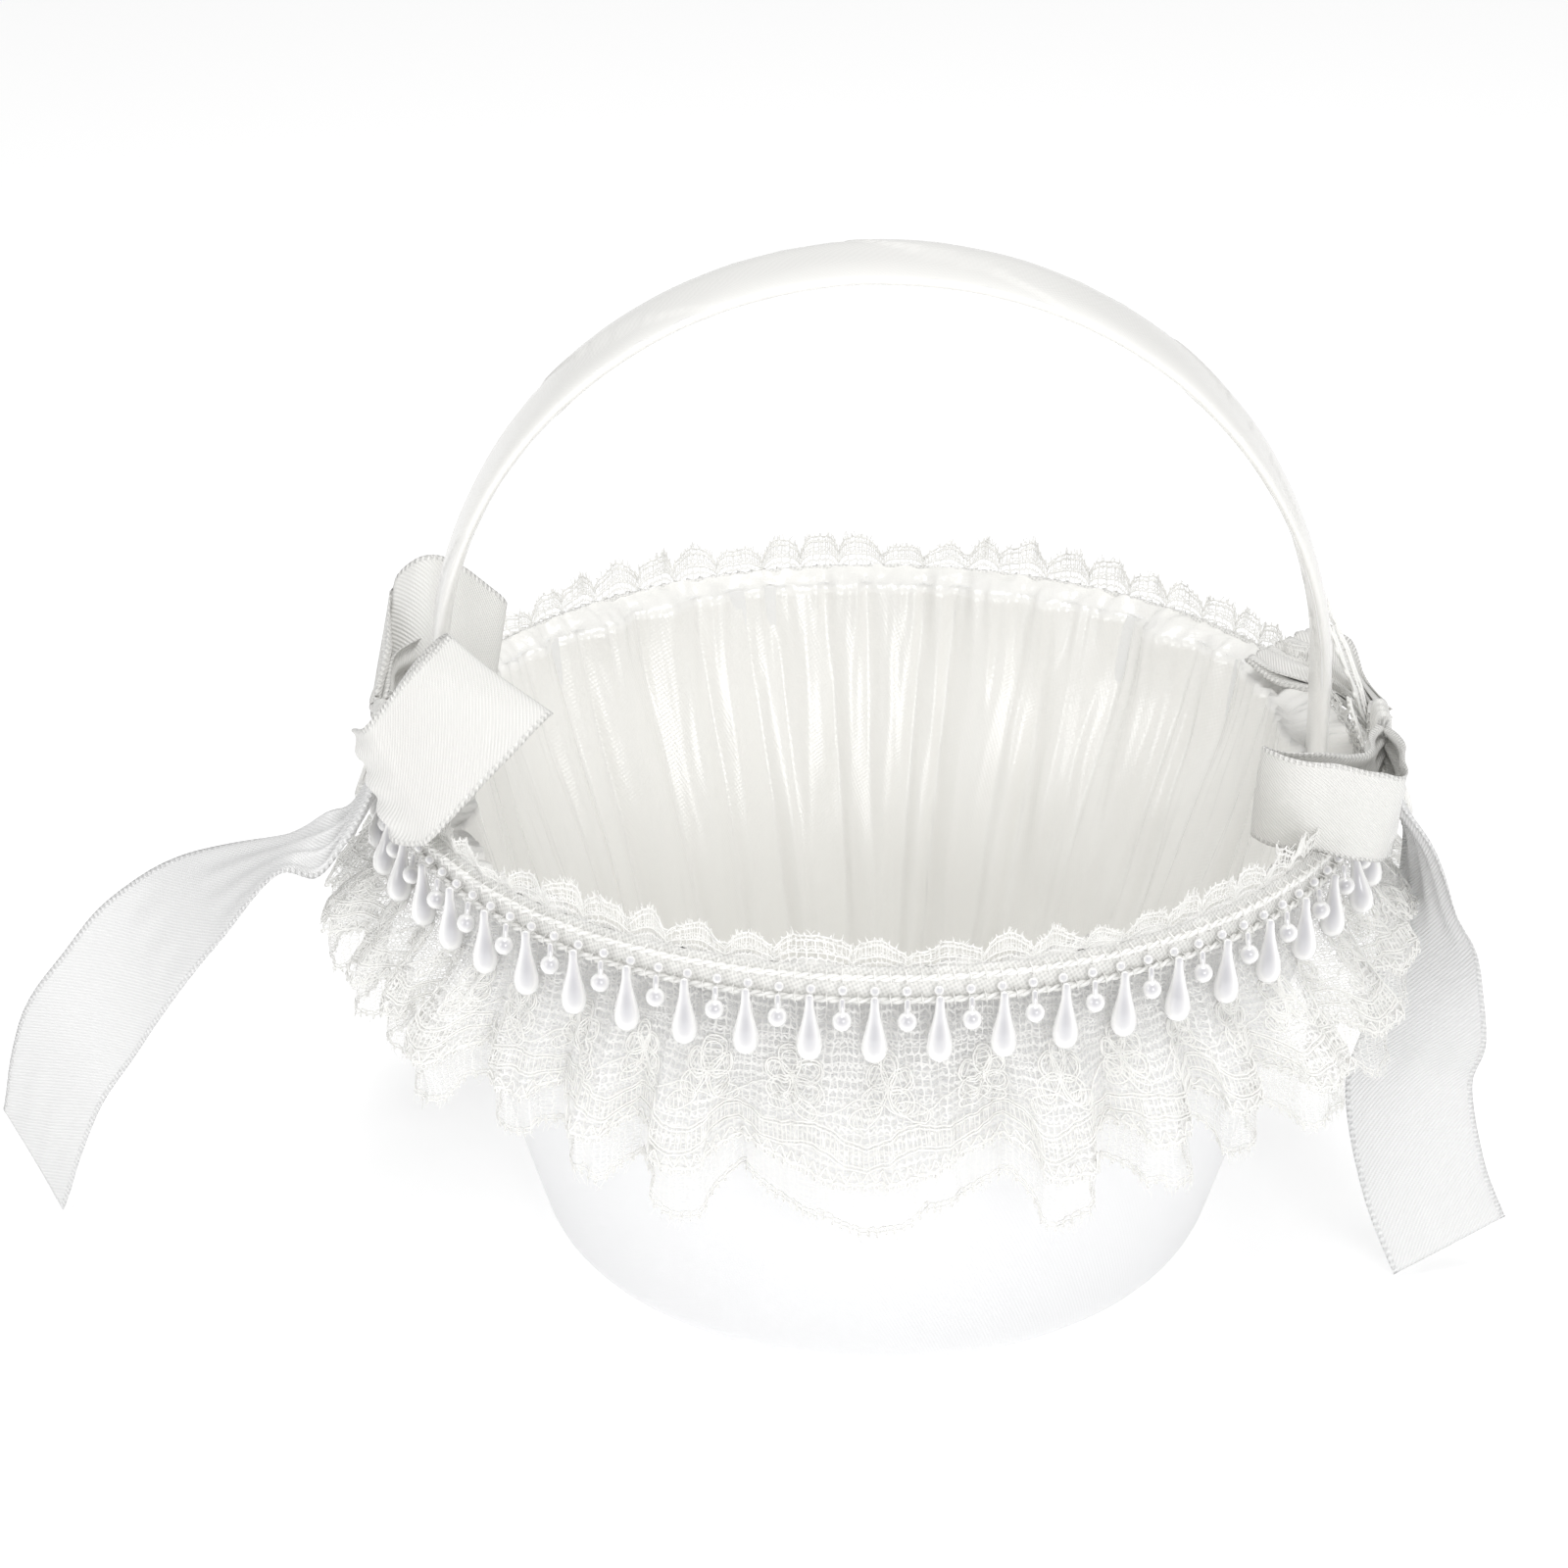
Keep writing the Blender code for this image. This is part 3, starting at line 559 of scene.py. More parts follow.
# %% Fringe numbers
PEARL_COUNT = 52
PEARL_PHASE = math.radians(-1.5)
TAPE_RADIUS = 0.0820
TAPE_FOOT = 0.0850
CORD_LINE = 0.0830
UPPER_CORD = 0.08945
LOWER_CORD = 0.08555
LONG_OUTLINE = [(0.0, 0.0010), (0.00055, 0.0008), (0.00068, 0.0002), (0.00074, -0.0010),
                (0.00098, -0.0026), (0.00132, -0.0041), (0.00168, -0.0055), (0.00196, -0.0067),
                (0.00210, -0.0078), (0.00204, -0.0087), (0.00176, -0.0095), (0.00118, -0.0101),
                (0.00050, -0.0104), (0.0, -0.0105)]
ROUND_OUTLINE = [(0.0, 0.0006), (0.00045, 0.0003), (0.00045, -0.0018)]
ROUND_OUTLINE += [(0.0016 * math.sin(math.radians(a)),
                   -0.0033 + 0.0016 * math.cos(math.radians(a))) for a in range(18, 181, 18)]


def spun(bm, outline, matrix, steps=20):
    """Adds a turned shape to a bmesh, in its place."""
    part = bmesh.new()
    line = [part.verts.new((r, 0.0, z)) for r, z in outline]
    edges = [part.edges.new(pair) for pair in zip(line, line[1:])]
    bmesh.ops.spin(part, geom=line + edges, cent=(0, 0, 0), axis=(0, 0, 1),
                   angle=2.0 * math.pi, steps=steps, use_merge=True)
    bmesh.ops.remove_doubles(part, verts=part.verts, dist=1e-7)
    bmesh.ops.transform(part, matrix=matrix, verts=part.verts)
    held = bpy.data.meshes.new("turned")
    part.to_mesh(held)
    part.free()
    bm.from_mesh(held)
    bpy.data.meshes.remove(held)


def as_object(bm, name, material, body=BODY):
    bmesh.ops.recalc_face_normals(bm, faces=bm.faces)
    mesh = bpy.data.meshes.new(name)
    bm.to_mesh(mesh)
    bm.free()
    return placed(mesh, name, material, body)


# %% [markdown]
# The place of each swinging pearl comes from its joint, so the pearl hangs from its own hinge.

# %% Long pearls of the front
swinging = {}
for joint in frame["joints"]:
    place = Vector(joint["pos_m"])
    angle = math.atan2(place.x, -place.y)
    swinging[round((angle - PEARL_PHASE) / (2.0 * math.pi / PEARL_COUNT))] = joint
    bm = bmesh.new()
    spun(bm, LONG_OUTLINE, Matrix.Translation(place) @ Matrix.Rotation(angle, 4, "Z"))
    pearl = as_object(bm, joint["child"] + "_drop", PEARL, joint["child"])
    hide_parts(joint["child"])
print("free pearls:", len(swinging))

# %% [markdown]
# The long pearls further round and all the round ones are sewn down. They hang with a small
# uneven tilt, and a tiny bead sits on the tape above each of them.

# %% Sewn pearls


def hung_at(angle, tilt, out=0.0016):
    foot = around(angle, CORD_LINE + out, LOWER_CORD + 0.0005)
    return (Matrix.Translation(foot) @ Matrix.Rotation(angle, 4, "Z")
            @ Matrix.Rotation(-tilt, 4, "X"))


bm = bmesh.new()
sewn_dice = random.Random(3)
for index in range(PEARL_COUNT):
    index -= PEARL_COUNT // 2
    angle = PEARL_PHASE + 2.0 * math.pi * index / PEARL_COUNT
    if index not in swinging:
        spun(bm, LONG_OUTLINE, hung_at(angle, math.radians(sewn_dice.uniform(4, 11))), 14)
    between = angle + math.pi / PEARL_COUNT
    spun(bm, ROUND_OUTLINE, hung_at(between, math.radians(sewn_dice.uniform(2, 8)), 0.0014), 16)
sewn = as_object(bm, "sewn_pearls", PEARL)

bm = bmesh.new()
for k in range(2 * PEARL_COUNT):
    angle = PEARL_PHASE + math.pi * k / PEARL_COUNT
    centre = around(angle, CORD_LINE + 0.0004, 0.5 * (UPPER_CORD + LOWER_CORD))
    bmesh.ops.create_uvsphere(bm, u_segments=12, v_segments=8, radius=0.00082,
                              matrix=Matrix.Translation(centre))
heads = as_object(bm, "head_beads", PEARL)
print("sewn pearl faces:", len(sewn.data.polygons))

# %% [markdown]
# Threads are curves with a small bevel. The helper takes any number of lines at once and makes
# one mesh of them, in the thread finish, that rides on the basket.

# %% Thread helper


def threads(name, lines, radius, ring=False):
    curve = bpy.data.curves.new(name, "CURVE")
    curve.dimensions = "3D"
    curve.bevel_depth = radius
    curve.bevel_resolution = 0
    curve.use_fill_caps = not ring
    for line in lines:
        spline = curve.splines.new("POLY")
        spline.points.add(len(line) - 1)
        spline.points.foreach_set("co", [c for p in line for c in (*p, 1.0)])
        spline.use_cyclic_u = ring
    shape = bpy.data.objects.new(name + "_line", curve)
    bpy.context.scene.collection.objects.link(shape)
    bpy.context.view_layer.update()
    mesh = bpy.data.meshes.new_from_object(shape.evaluated_get(
        bpy.context.evaluated_depsgraph_get()))
    bpy.data.objects.remove(shape, do_unlink=True)
    bpy.data.curves.remove(curve)
    mesh.name = name
    return placed(mesh, name, THREAD, BODY)


# %% [markdown]
# The pearl tape is a narrow woven band with a cord sewn along each edge. Small stitches cross
# the cords at every half pearl spacing, and each cord is two plies twisted together.

# %% Tape and cords


def tape_place(u, v):
    angle = 2.0 * math.pi * u
    ripple = 0.00012 * math.sin(angle * 104)
    return around(angle, TAPE_RADIUS + ripple - 0.0008 * v * v, 0.0848 + 0.0058 * v)


TAPE, tape_tree, tape_shader = finish_of("woven tape", (0.94, 0.935, 0.91), 0.55,
                                         Sheen_Weight=0.3)
tape_uv = tape_tree.nodes.new("ShaderNodeTexCoord")
tape_weave = tape_tree.nodes.new("ShaderNodeGroup")
tape_weave.node_tree = WEAVE
tape_weave.inputs["Threads"].default_value = 9000.0
tape_tree.links.new(tape_uv.outputs["UV"], tape_weave.inputs["Vector"])
bumped(tape_tree, tape_shader, tape_weave.outputs["Height"], 0.00002)
solid = tape_tree.nodes.new("ShaderNodeMapRange")
solid.inputs["From Min"].default_value = -0.5
solid.inputs["From Max"].default_value = 0.3
solid.inputs["To Min"].default_value = 0.80
solid.inputs["To Max"].default_value = 1.0
tape_tree.links.new(tape_weave.outputs["Height"], solid.inputs["Value"])
tape_tree.links.new(solid.outputs["Result"], tape_shader.inputs["Alpha"])
tape = cloth("pearl_tape_band", (416, 6), (2.0 * math.pi * TAPE_RADIUS, 0.0054),
             tape_place, TAPE, closed=True, wall=0.0003)
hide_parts("pearl_tape")


def ply(level, phase):
    line = []
    for k in range(1040):
        angle = 2.0 * math.pi * k / 1040
        twist = angle * 130 + phase
        line.append(around(angle, CORD_LINE - 0.0002 + 0.00030 * math.cos(twist),
                           level + 0.00030 * math.sin(twist)))
    return line


for label, level, node_name in (("upper", UPPER_CORD, "upper_cord"),
                                ("lower", LOWER_CORD, "lower_cord_with_pearls")):
    cord = threads(label + "_cord_plies", [ply(level, 0.0), ply(level, math.pi)], 0.00036,
                   ring=True)
    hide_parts(node_name)

stitches = []
for k in range(4 * PEARL_COUNT):
    angle = PEARL_PHASE + 0.5 * math.pi * k / PEARL_COUNT
    for level in (UPPER_CORD, LOWER_CORD):
        stitches.append([around(angle + 0.002, CORD_LINE - 0.0010, level - 0.0010),
                         around(angle + 0.001, CORD_LINE + 0.0004, level - 0.0006),
                         around(angle - 0.001, CORD_LINE + 0.0004, level + 0.0006),
                         around(angle - 0.002, CORD_LINE - 0.0010, level + 0.0010)])
stitching = threads("cord_stitches", stitches, 0.00012)
print("stitches:", len(stitches))

# %% [markdown]
# The lace is one long strip drawn up on a thread until it fits the rim, so it stands in ruffles.
# Each ruffle is a loop of cloth: its crest is broad, its sides turn under, and the valley next
# to it is narrow. The list gives where each ruffle starts, and the broad ones are in front.

# %% Ruffles
ruffle_dice = random.Random(11)
FRONT_EDGES = [-0.839, -0.648, -0.482, -0.28, 0.22, 0.424, 0.605, 0.763]
RUFFLES = []
start = FRONT_EDGES[0]
for end in FRONT_EDGES[1:]:
    RUFFLES.append([start, end - start])
    start = end
while start < FRONT_EDGES[0] + 2.0 * math.pi - 0.12:
    width = min(ruffle_dice.uniform(0.15, 0.26), FRONT_EDGES[0] + 2.0 * math.pi - start)
    RUFFLES.append([start, width])
    start += width
RUFFLES[-1][1] = FRONT_EDGES[0] + 2.0 * math.pi - RUFFLES[-1][0]
for ruffle in RUFFLES:
    ruffle += [ruffle_dice.uniform(0.55, 1.15), ruffle_dice.uniform(0.75, 1.35)]
RUFFLES[3][2:] = [0.62, 0.45]
RUFFLE_COUNT = len(RUFFLES)
LACE_CELLS = 1300
FRILL_DROP = 0.0292
NET_DROP = 0.0385
NET_INSET = 0.0013


def lace_angle(turn, open_share=1.0):
    """Angle round the rim of a place counted in ruffles."""
    i = int(turn) % RUFFLE_COUNT
    tau = turn - int(turn)
    begin, width, _, swirl = RUFFLES[i]
    return begin + width * (tau + open_share * swirl * math.sin(4 * math.pi * tau) / (4 * math.pi))


def skirt_place(turn, depth, inner=0.0):
    """A point of the hanging lace: depth is metres of cloth below the tape."""
    i = int(turn) % RUFFLE_COUNT
    tau = turn - int(turn)
    crest = RUFFLES[i][2]
    grow = smooth((depth - 0.004) / 0.026)
    angle = lace_angle(turn, grow)
    away = smooth(abs(turn_between(angle, 0.0)) / 1.35)
    turning = Vector((math.cos(angle), math.sin(angle), 0.0))
    wave = math.sin(math.pi * tau) ** 0.9
    gather = noise.noise(turning * 64.0 + Vector((0, 0, depth * 60.0)))
    ripple = noise.noise(turning * 17.0 + Vector((3.0, 0, depth * 110.0)))
    gathered = math.exp(-depth / 0.006)
    radius = 0.0815 + 0.0002 * smooth(depth / 0.003) + (0.0012 * gather - 0.0004) * smooth(
        depth / 0.002) * (0.75 + 0.6 * gathered)
    radius += (0.0026 + 0.0030 * away) * grow + 0.0098 * crest * wave * grow
    radius += 0.0014 * ripple * grow - inner * smooth(depth / 0.004)
    fall = depth * (1.0 - 0.23 * away) * (1.0 - 0.14 * (1.0 - wave) * grow)
    sag = 0.0024 * noise.noise(turning * 4.0 + Vector((9.0, 0, 0))) * grow
    return around(angle, radius, TAPE_FOOT - fall + sag)


def cumulative_turns(depth, steps=40):
    """Metres of flat cloth met on the way round, at one depth."""
    table = [(0.0, 0.0)]
    last = skirt_place(0.0, depth)
    for k in range(1, RUFFLE_COUNT * steps + 1):
        turn = k / steps
        point = skirt_place(turn, depth)
        table.append((table[-1][0] + (point - last).length, turn))
        last = point
    return table


LACE_RUN = cumulative_turns(0.022)
LACE_LENGTH = LACE_RUN[-1][0]


def turn_at(run):
    """The place round the rim, in ruffles, of a length of flat lace."""
    run %= LACE_LENGTH
    low, high = 0, len(LACE_RUN) - 1
    while high - low > 1:
        middle = (low + high) // 2
        if LACE_RUN[middle][0] <= run:
            low = middle
        else:
            high = middle
    a, b = LACE_RUN[low], LACE_RUN[high]
    return a[1] + (b[1] - a[1]) * (run - a[0]) / max(b[0] - a[0], 1e-9)


def head_place(turn, rise):
    """A point of the lace heading: rise is metres of cloth above the upper cord."""
    angle = lace_angle(turn, 0.0)
    turning = Vector((math.cos(angle), math.sin(angle), 0.0))
    side = min(abs(turn_between(angle, math.pi / 2)), abs(turn_between(angle, -math.pi / 2)))
    pressed = 1.0 - 0.62 * bell(side, 0.26)
    stand = 0.92 + 0.55 * noise.noise(turning * 4.0 + Vector((0, 5.0, 0)))
    fold = noise.noise(turning * 22.0 + Vector((0, 0, 2.0)))
    curl = noise.noise(turning * 48.0 + Vector((0, 4.0, rise * 90.0)))
    share = (rise - 0.0012) / 0.0060
    radius = 0.0812 + max(share, 0.0) * (0.0008 + 0.0026 * fold + 0.0007 * curl)
    return around(angle, max(radius, 0.0806), 0.0893 + rise * pressed * max(0.3, min(stand, 1.1)))


print("ruffles:", RUFFLE_COUNT, "flat lace:", round(LACE_LENGTH, 3), "m")

# %% [markdown]
# The ground of the lace is a fine machine net, too fine to build thread by thread. Its material
# is clear between the threads: a mesh of small cells, rows of stitches across it, and a faint
# haze for the fuzz. The UV map is in metres, so a cell measures about a millimetre.

# %% Net finish


def net_finish(name, cell, row, haze, colour=(0.97, 0.965, 0.945)):
    made, tree, shader = finish_of(name, colour, 0.6, Sheen_Weight=0.2)
    place = tree.nodes.new("ShaderNodeTexCoord")
    cells = tree.nodes.new("ShaderNodeTexVoronoi")
    cells.voronoi_dimensions = "2D"
    cells.feature = "DISTANCE_TO_EDGE"
    cells.inputs["Scale"].default_value = 1.0 / cell
    cells.inputs["Randomness"].default_value = 0.35
    tree.links.new(place.outputs["UV"], cells.inputs["Vector"])
    mesh_line = maths(tree, "LESS_THAN", cells.outputs["Distance"], 0.085)
    split = tree.nodes.new("ShaderNodeSeparateXYZ")
    tree.links.new(place.outputs["UV"], split.inputs[0])
    zigzag = maths(tree, "SINE", maths(tree, "MULTIPLY", split.outputs["X"], 2 * math.pi / 0.0011))
    height = maths(tree, "ADD", maths(tree, "MULTIPLY", split.outputs["Y"], 2 * math.pi / row),
                   maths(tree, "MULTIPLY", zigzag, 0.7))
    row_line = maths(tree, "GREATER_THAN", maths(tree, "SINE", height), 0.80)
    lines = maths(tree, "MAXIMUM", mesh_line, row_line)
    alpha = maths(tree, "MULTIPLY_ADD", lines, 0.88 - haze)
    alpha.node.inputs[2].default_value = haze
    tree.links.new(alpha, shader.inputs["Alpha"])
    bumped(tree, shader, lines, 0.00010)
    return made


LACE_GROUND = net_finish("lace ground", 0.00125, 0.0018, 0.04)
NET_GROUND = net_finish("net ground", 0.00100, 0.0010, 0.05)

# %% [markdown]
# Three grids carry this net: the lace frill, the longer plain net under it with a scalloped
# edge, and the narrow heading that stands up above the tape.

# %% Lace layers


def frill_place(u, v):
    return skirt_place(turn_at(u * LACE_LENGTH), v * FRILL_DROP)


def net_edge(run):
    """Depth of the net's scalloped edge."""
    arch = abs(math.sin(math.pi * run / 0.0165)) ** 0.7
    return NET_DROP - 0.0026 + 0.0026 * arch


def net_place(u, v):
    run = u * LACE_LENGTH
    return skirt_place(turn_at(run), v * net_edge(run), NET_INSET)


def head_edge(run):
    """Height of the scalloped heading."""
    return 0.0030 + 0.0036 * abs(math.sin(math.pi * run / 0.0122)) ** 0.55


def heading_place(u, v):
    run = u * LACE_LENGTH
    return head_place(turn_at(run), v * (head_edge(run) + 0.0026) - 0.0030)


frill = cloth("lace_frill_ground", (LACE_CELLS, 22), (LACE_LENGTH, FRILL_DROP), frill_place,
              LACE_GROUND, closed=True)
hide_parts("lace_frill")
net = cloth("net_frill_ground", (LACE_CELLS, 26), (LACE_LENGTH, NET_DROP), net_place,
            NET_GROUND, closed=True)
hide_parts("net_frill")
heading = cloth("lace_heading_ground", (LACE_CELLS, 5), (LACE_LENGTH, 0.0100), heading_place,
                LACE_GROUND, closed=True)
print("frill, net, heading faces:", sum(len(p.data.polygons) for p in (frill, net, heading)))

# %% [markdown]
# The pattern of the lace is worked in thicker thread. It's drawn flat, in metres along and
# down the strip, and then every point is sent to the ruffled surface. A motif has five round
# petals filled with ladder stitches, two leaves and a stem that leads to the next motif.

# %% Flat pattern shapes
REPEATS = round(LACE_LENGTH / 0.0168)
REPEAT = LACE_LENGTH / REPEATS


def leaf_outline(centre, heading_angle, length, width, points=18):
    """A rounded petal from its foot at centre, as a closed flat line."""
    out = []
    c, s = math.cos(heading_angle), math.sin(heading_angle)
    for k in range(points + 1):
        a = 2.0 * math.pi * k / points
        along = length * (0.5 - 0.5 * math.cos(a))
        across = 0.5 * width * math.sin(a) * (0.75 + 0.5 * along / length)
        out.append((centre[0] + along * c - across * s, centre[1] + along * s + across * c))
    return out


def ladder(outline, gap):
    """Rungs across a closed line made by leaf_outline, one each gap along it."""
    half = len(outline) // 2
    left, right = outline[:half + 1], outline[half:][::-1]
    length = math.dist(outline[0], outline[half])
    count = max(2, int(length / gap))
    rungs = []
    for k in range(1, count):
        place = k / count * half
        i = min(int(place), half - 1)
        t = place - i
        a = [left[i][n] + (left[i + 1][n] - left[i][n]) * t for n in (0, 1)]
        b = [right[i][n] + (right[i + 1][n] - right[i][n]) * t for n in (0, 1)]
        rungs.append([tuple(a), tuple(b)])
    return rungs


def motif(centre_run, flip):
    thick, thin = [], []
    middle = (centre_run, 0.0142)
    for k in range(5):
        a = math.radians(-90 + 62 * (k - 2)) + 0.12 * flip
        petal = leaf_outline(middle, a, 0.0050 if k % 2 else 0.0056, 0.0037)
        thick.append(petal)
        foot = (middle[0] + 0.0006 * math.cos(a), middle[1] + 0.0006 * math.sin(a))
        thick.append(leaf_outline(foot, a, 0.0040, 0.0026))
        thin += ladder(petal, 0.00062)
    for side in (-1, 1):
        a = math.radians(90 - 66 * side * flip)
        leaf = leaf_outline((centre_run + side * 0.0014, 0.0168), a, 0.0062, 0.0026)
        thick.append(leaf)
        thin += ladder(leaf, 0.0006)
    stem = [(centre_run + t * REPEAT * 0.5, 0.0172 + 0.0016 * math.sin(math.pi * t))
            for t in [k / 10 for k in range(-10, 11)]]
    thick.append(stem)
    return thick, thin


thick_lines, thin_lines = [], []
for k in range(REPEATS):
    thick, thin = motif((k + 0.5) * REPEAT, 1 if k % 2 else -1)
    thick_lines += thick
    thin_lines += thin
print("motifs:", REPEATS, "rungs:", len(thin_lines))

# %% [markdown]
# Below the motifs run two waved bands that follow the repeat, joined by slanting rungs, then a
# tight wave, an outline of small picots that loop over the edge, and a straight stay thread.

# %% Bands, waves and picots
FINE_STEP = 0.0006
RUNG_STEP = 0.0008
TIGHT_STEP = 0.00028
PICOT_STEP = 0.00018


def steps_of(step):
    """Runs along the flat lace, one each step."""
    return [k * step for k in range(int(LACE_LENGTH / step))]


def band_wave(run):
    return 0.0011 * math.sin(2 * math.pi * run / REPEAT)


for offset in (0.0212, 0.0218, 0.0246, 0.0252):
    thick_lines.append([(run, offset + band_wave(run)) for run in steps_of(FINE_STEP)])
for run in steps_of(RUNG_STEP):
    thin_lines.append([(run, 0.0215 + band_wave(run)), (run + 0.0002, 0.0249 + band_wave(run))])
thick_lines.append([(run, 0.0272 + 0.0009 * math.sin(2 * math.pi * run / 0.0022))
                    for run in steps_of(TIGHT_STEP)])
thick_lines.append([(run + 0.0007 * math.cos(k * 0.7),
                     FRILL_DROP - 0.0004 + 0.0007 * math.sin(k * 0.7))
                    for k, run in enumerate(steps_of(PICOT_STEP))])
thick_lines.append([(run, 0.0284) for run in steps_of(FINE_STEP)])


def on_skirt(line, inner=0.0):
    return [skirt_place(turn_at(run), depth, inner) for run, depth in line]


def sewn_on(name, lines, radius, place):
    obj = threads(name, [place(line) for line in lines], radius)
    return obj


motif_thread = sewn_on("lace_motif_thread", thick_lines, 0.00017,
                       lambda line: on_skirt(line, -0.00018))
ladder_thread = sewn_on("lace_ladder_thread", thin_lines, 0.00010,
                        lambda line: on_skirt(line, -0.00012))

# %% [markdown]
# The net layer has its own edge: two rows of small loops that follow the scallops. Cut lace
# always sheds a little, so short loose threads stand out below both edges and above the heading.

# %% Edge of the net and frayed ends
EDGE_STEP = 0.0002
fray_dice = random.Random(5)
edge_lines, fray = [], []
for extra in (0.0, 0.0009):
    edge_lines.append([(run + 0.0005 * math.cos(k * 0.9),
                        net_edge(run) - extra + 0.0005 * math.sin(k * 0.9))
                       for k, run in enumerate(steps_of(EDGE_STEP))])
for _ in range(1100):
    run = fray_dice.uniform(0.0, LACE_LENGTH)
    depth = net_edge(run)
    slide = fray_dice.uniform(-0.0012, 0.0012)
    fray.append([(run, depth), (run + 0.4 * slide, depth + 0.0007),
                 (run + slide, depth + fray_dice.uniform(0.0010, 0.0022))])
for _ in range(500):
    run = fray_dice.uniform(0.0, LACE_LENGTH)
    slide = fray_dice.uniform(-0.0010, 0.0010)
    fray.append([(run, FRILL_DROP), (run + slide, FRILL_DROP + fray_dice.uniform(0.0006, 0.0014))])
net_edge_thread = sewn_on("net_edge_thread", edge_lines, 0.00013,
                          lambda line: on_skirt(line, NET_INSET))
frayed = sewn_on("frayed_threads", fray, 0.00004, lambda line: on_skirt(line, 0.0010))

# %% [markdown]
# Above the tape the lace stands up as a low heading of small arches. Each arch has three bowed
# threads, a row of rungs between them and picots along its top.

# %% Heading pattern
ARCH_STEP = 0.00035
LOOP_STEP = 0.00022
arch_lines, rung_lines = [], []
for share in (1.0, 0.86, 0.52):
    arch_lines.append([(run, head_edge(run) * share) for run in steps_of(ARCH_STEP)])
for run in steps_of(0.0007):
    rung_lines.append([(run, head_edge(run) * 0.50), (run, head_edge(run) * 0.98)])
arch_lines.append([(run + 0.00042 * math.cos(k * 0.8),
                    head_edge(run) + 0.0002 + 0.00042 * math.sin(k * 0.8))
                   for k, run in enumerate(steps_of(LOOP_STEP))])
arch_lines.append([(run, 0.0004) for run in steps_of(ARCH_STEP)])
for _ in range(1000):
    run = fray_dice.uniform(0.0, LACE_LENGTH)
    rise = head_edge(run)
    slide = fray_dice.uniform(-0.0008, 0.0008)
    rung_lines.append([(run, rise), (run + slide, rise + fray_dice.uniform(0.0004, 0.0013))])


def on_heading(line):
    return [head_place(turn_at(run), rise) for run, rise in line]


heading_thread = sewn_on("heading_pattern_thread", arch_lines, 0.00012, on_heading)
heading_rungs = sewn_on("heading_ladder_thread", rung_lines, 0.00007, on_heading)
print("lace threads:", sum(len(o.data.polygons) for o in (
    motif_thread, ladder_thread, net_edge_thread, frayed, heading_thread, heading_rungs)))

# %% [markdown]
# The bows are one satin ribbon, 22 mm wide, with a woven edge. Each piece is given by a few
# stations: the ribbon's middle, the direction across it, and how much of its width the gathers
# leave. Where it's drawn together it folds like a fan, and that fan fades out along the loop.

# %% Ribbon finish


def ribbon_finish(name, colour, roughness):
    made, tree, shader = finish_of(name, colour, roughness, Sheen_Weight=0.25,
                                   Anisotropic=0.4, Specular_IOR_Level=0.9)
    place = tree.nodes.new("ShaderNodeTexCoord")
    split = tree.nodes.new("ShaderNodeSeparateXYZ")
    tree.links.new(place.outputs["UV"], split.inputs[0])
    slant = maths(tree, "ADD", maths(tree, "MULTIPLY", split.outputs["X"], 8200.0),
                  maths(tree, "MULTIPLY", split.outputs["Y"], 8200.0))
    twill = maths(tree, "SINE", slant)
    weft = maths(tree, "SINE", maths(tree, "MULTIPLY", split.outputs["X"], 21000.0))
    off = maths(tree, "ABSOLUTE", maths(tree, "SUBTRACT", split.outputs["Y"], 0.011))
    edge = maths(tree, "GREATER_THAN", off, 0.01005)
    dots = maths(tree, "MULTIPLY", edge, maths(tree, "SINE", maths(
        tree, "MULTIPLY", split.outputs["X"], 2 * math.pi / 0.0010)))
    height = maths(tree, "ADD", maths(tree, "ADD", maths(tree, "MULTIPLY", twill, 0.5),
                                      maths(tree, "MULTIPLY", weft, 0.2)),
                   maths(tree, "MULTIPLY", dots, 1.5))
    bumped(tree, shader, height, 0.00007)
    # Painted shade: the colour follows the weave height, darker in the low lines of the twill and
    # between the selvedge dots, a little lighter on the raised threads.
    shade = tree.nodes.new("ShaderNodeMapRange")
    shade.inputs["From Min"].default_value = -1.6
    shade.inputs["From Max"].default_value = 0.9
    tree.links.new(height, shade.inputs["Value"])
    tint = tree.nodes.new("ShaderNodeMix")
    tint.data_type = "RGBA"
    tint.inputs["A"].default_value = (*[c * 0.80 for c in colour], 1.0)
    tint.inputs["B"].default_value = (*[min(1.0, c * 1.03) for c in colour], 1.0)
    tree.links.new(shade.outputs["Result"], tint.inputs["Factor"])
    tree.links.new(tint.outputs["Result"], shader.inputs["Base Color"])
    return made


LOOP_RIBBON = ribbon_finish("ivory bow ribbon", (0.885, 0.878, 0.850), 0.25)
TAIL_RIBBON = ribbon_finish("white tail ribbon", (0.89, 0.89, 0.888), 0.30)
RIBBON_WIDE = 0.022
RIBBON_STEPS = 240
FAN_FOLDS = 3.5


# %% [markdown]
# The helper runs a smooth line through the stations and sends a flat strip along it. Steps are
# equal along the line, so the woven pattern isn't stretched anywhere.

# %% Ribbon helper


def along_points(points, t):
    """A smooth line through points, at t from 0 to len(points) - 1."""
    i = min(int(t), len(points) - 2)
    f = t - i
    a, b, c, d = (points[max(i - 1, 0)], points[i], points[i + 1],
                  points[min(i + 2, len(points) - 1)])
    return 0.5 * ((2 * b) + (c - a) * f + (2 * a - 5 * b + 4 * c - d) * f * f
                  + (3 * b - a - 3 * c + d) * f ** 3)


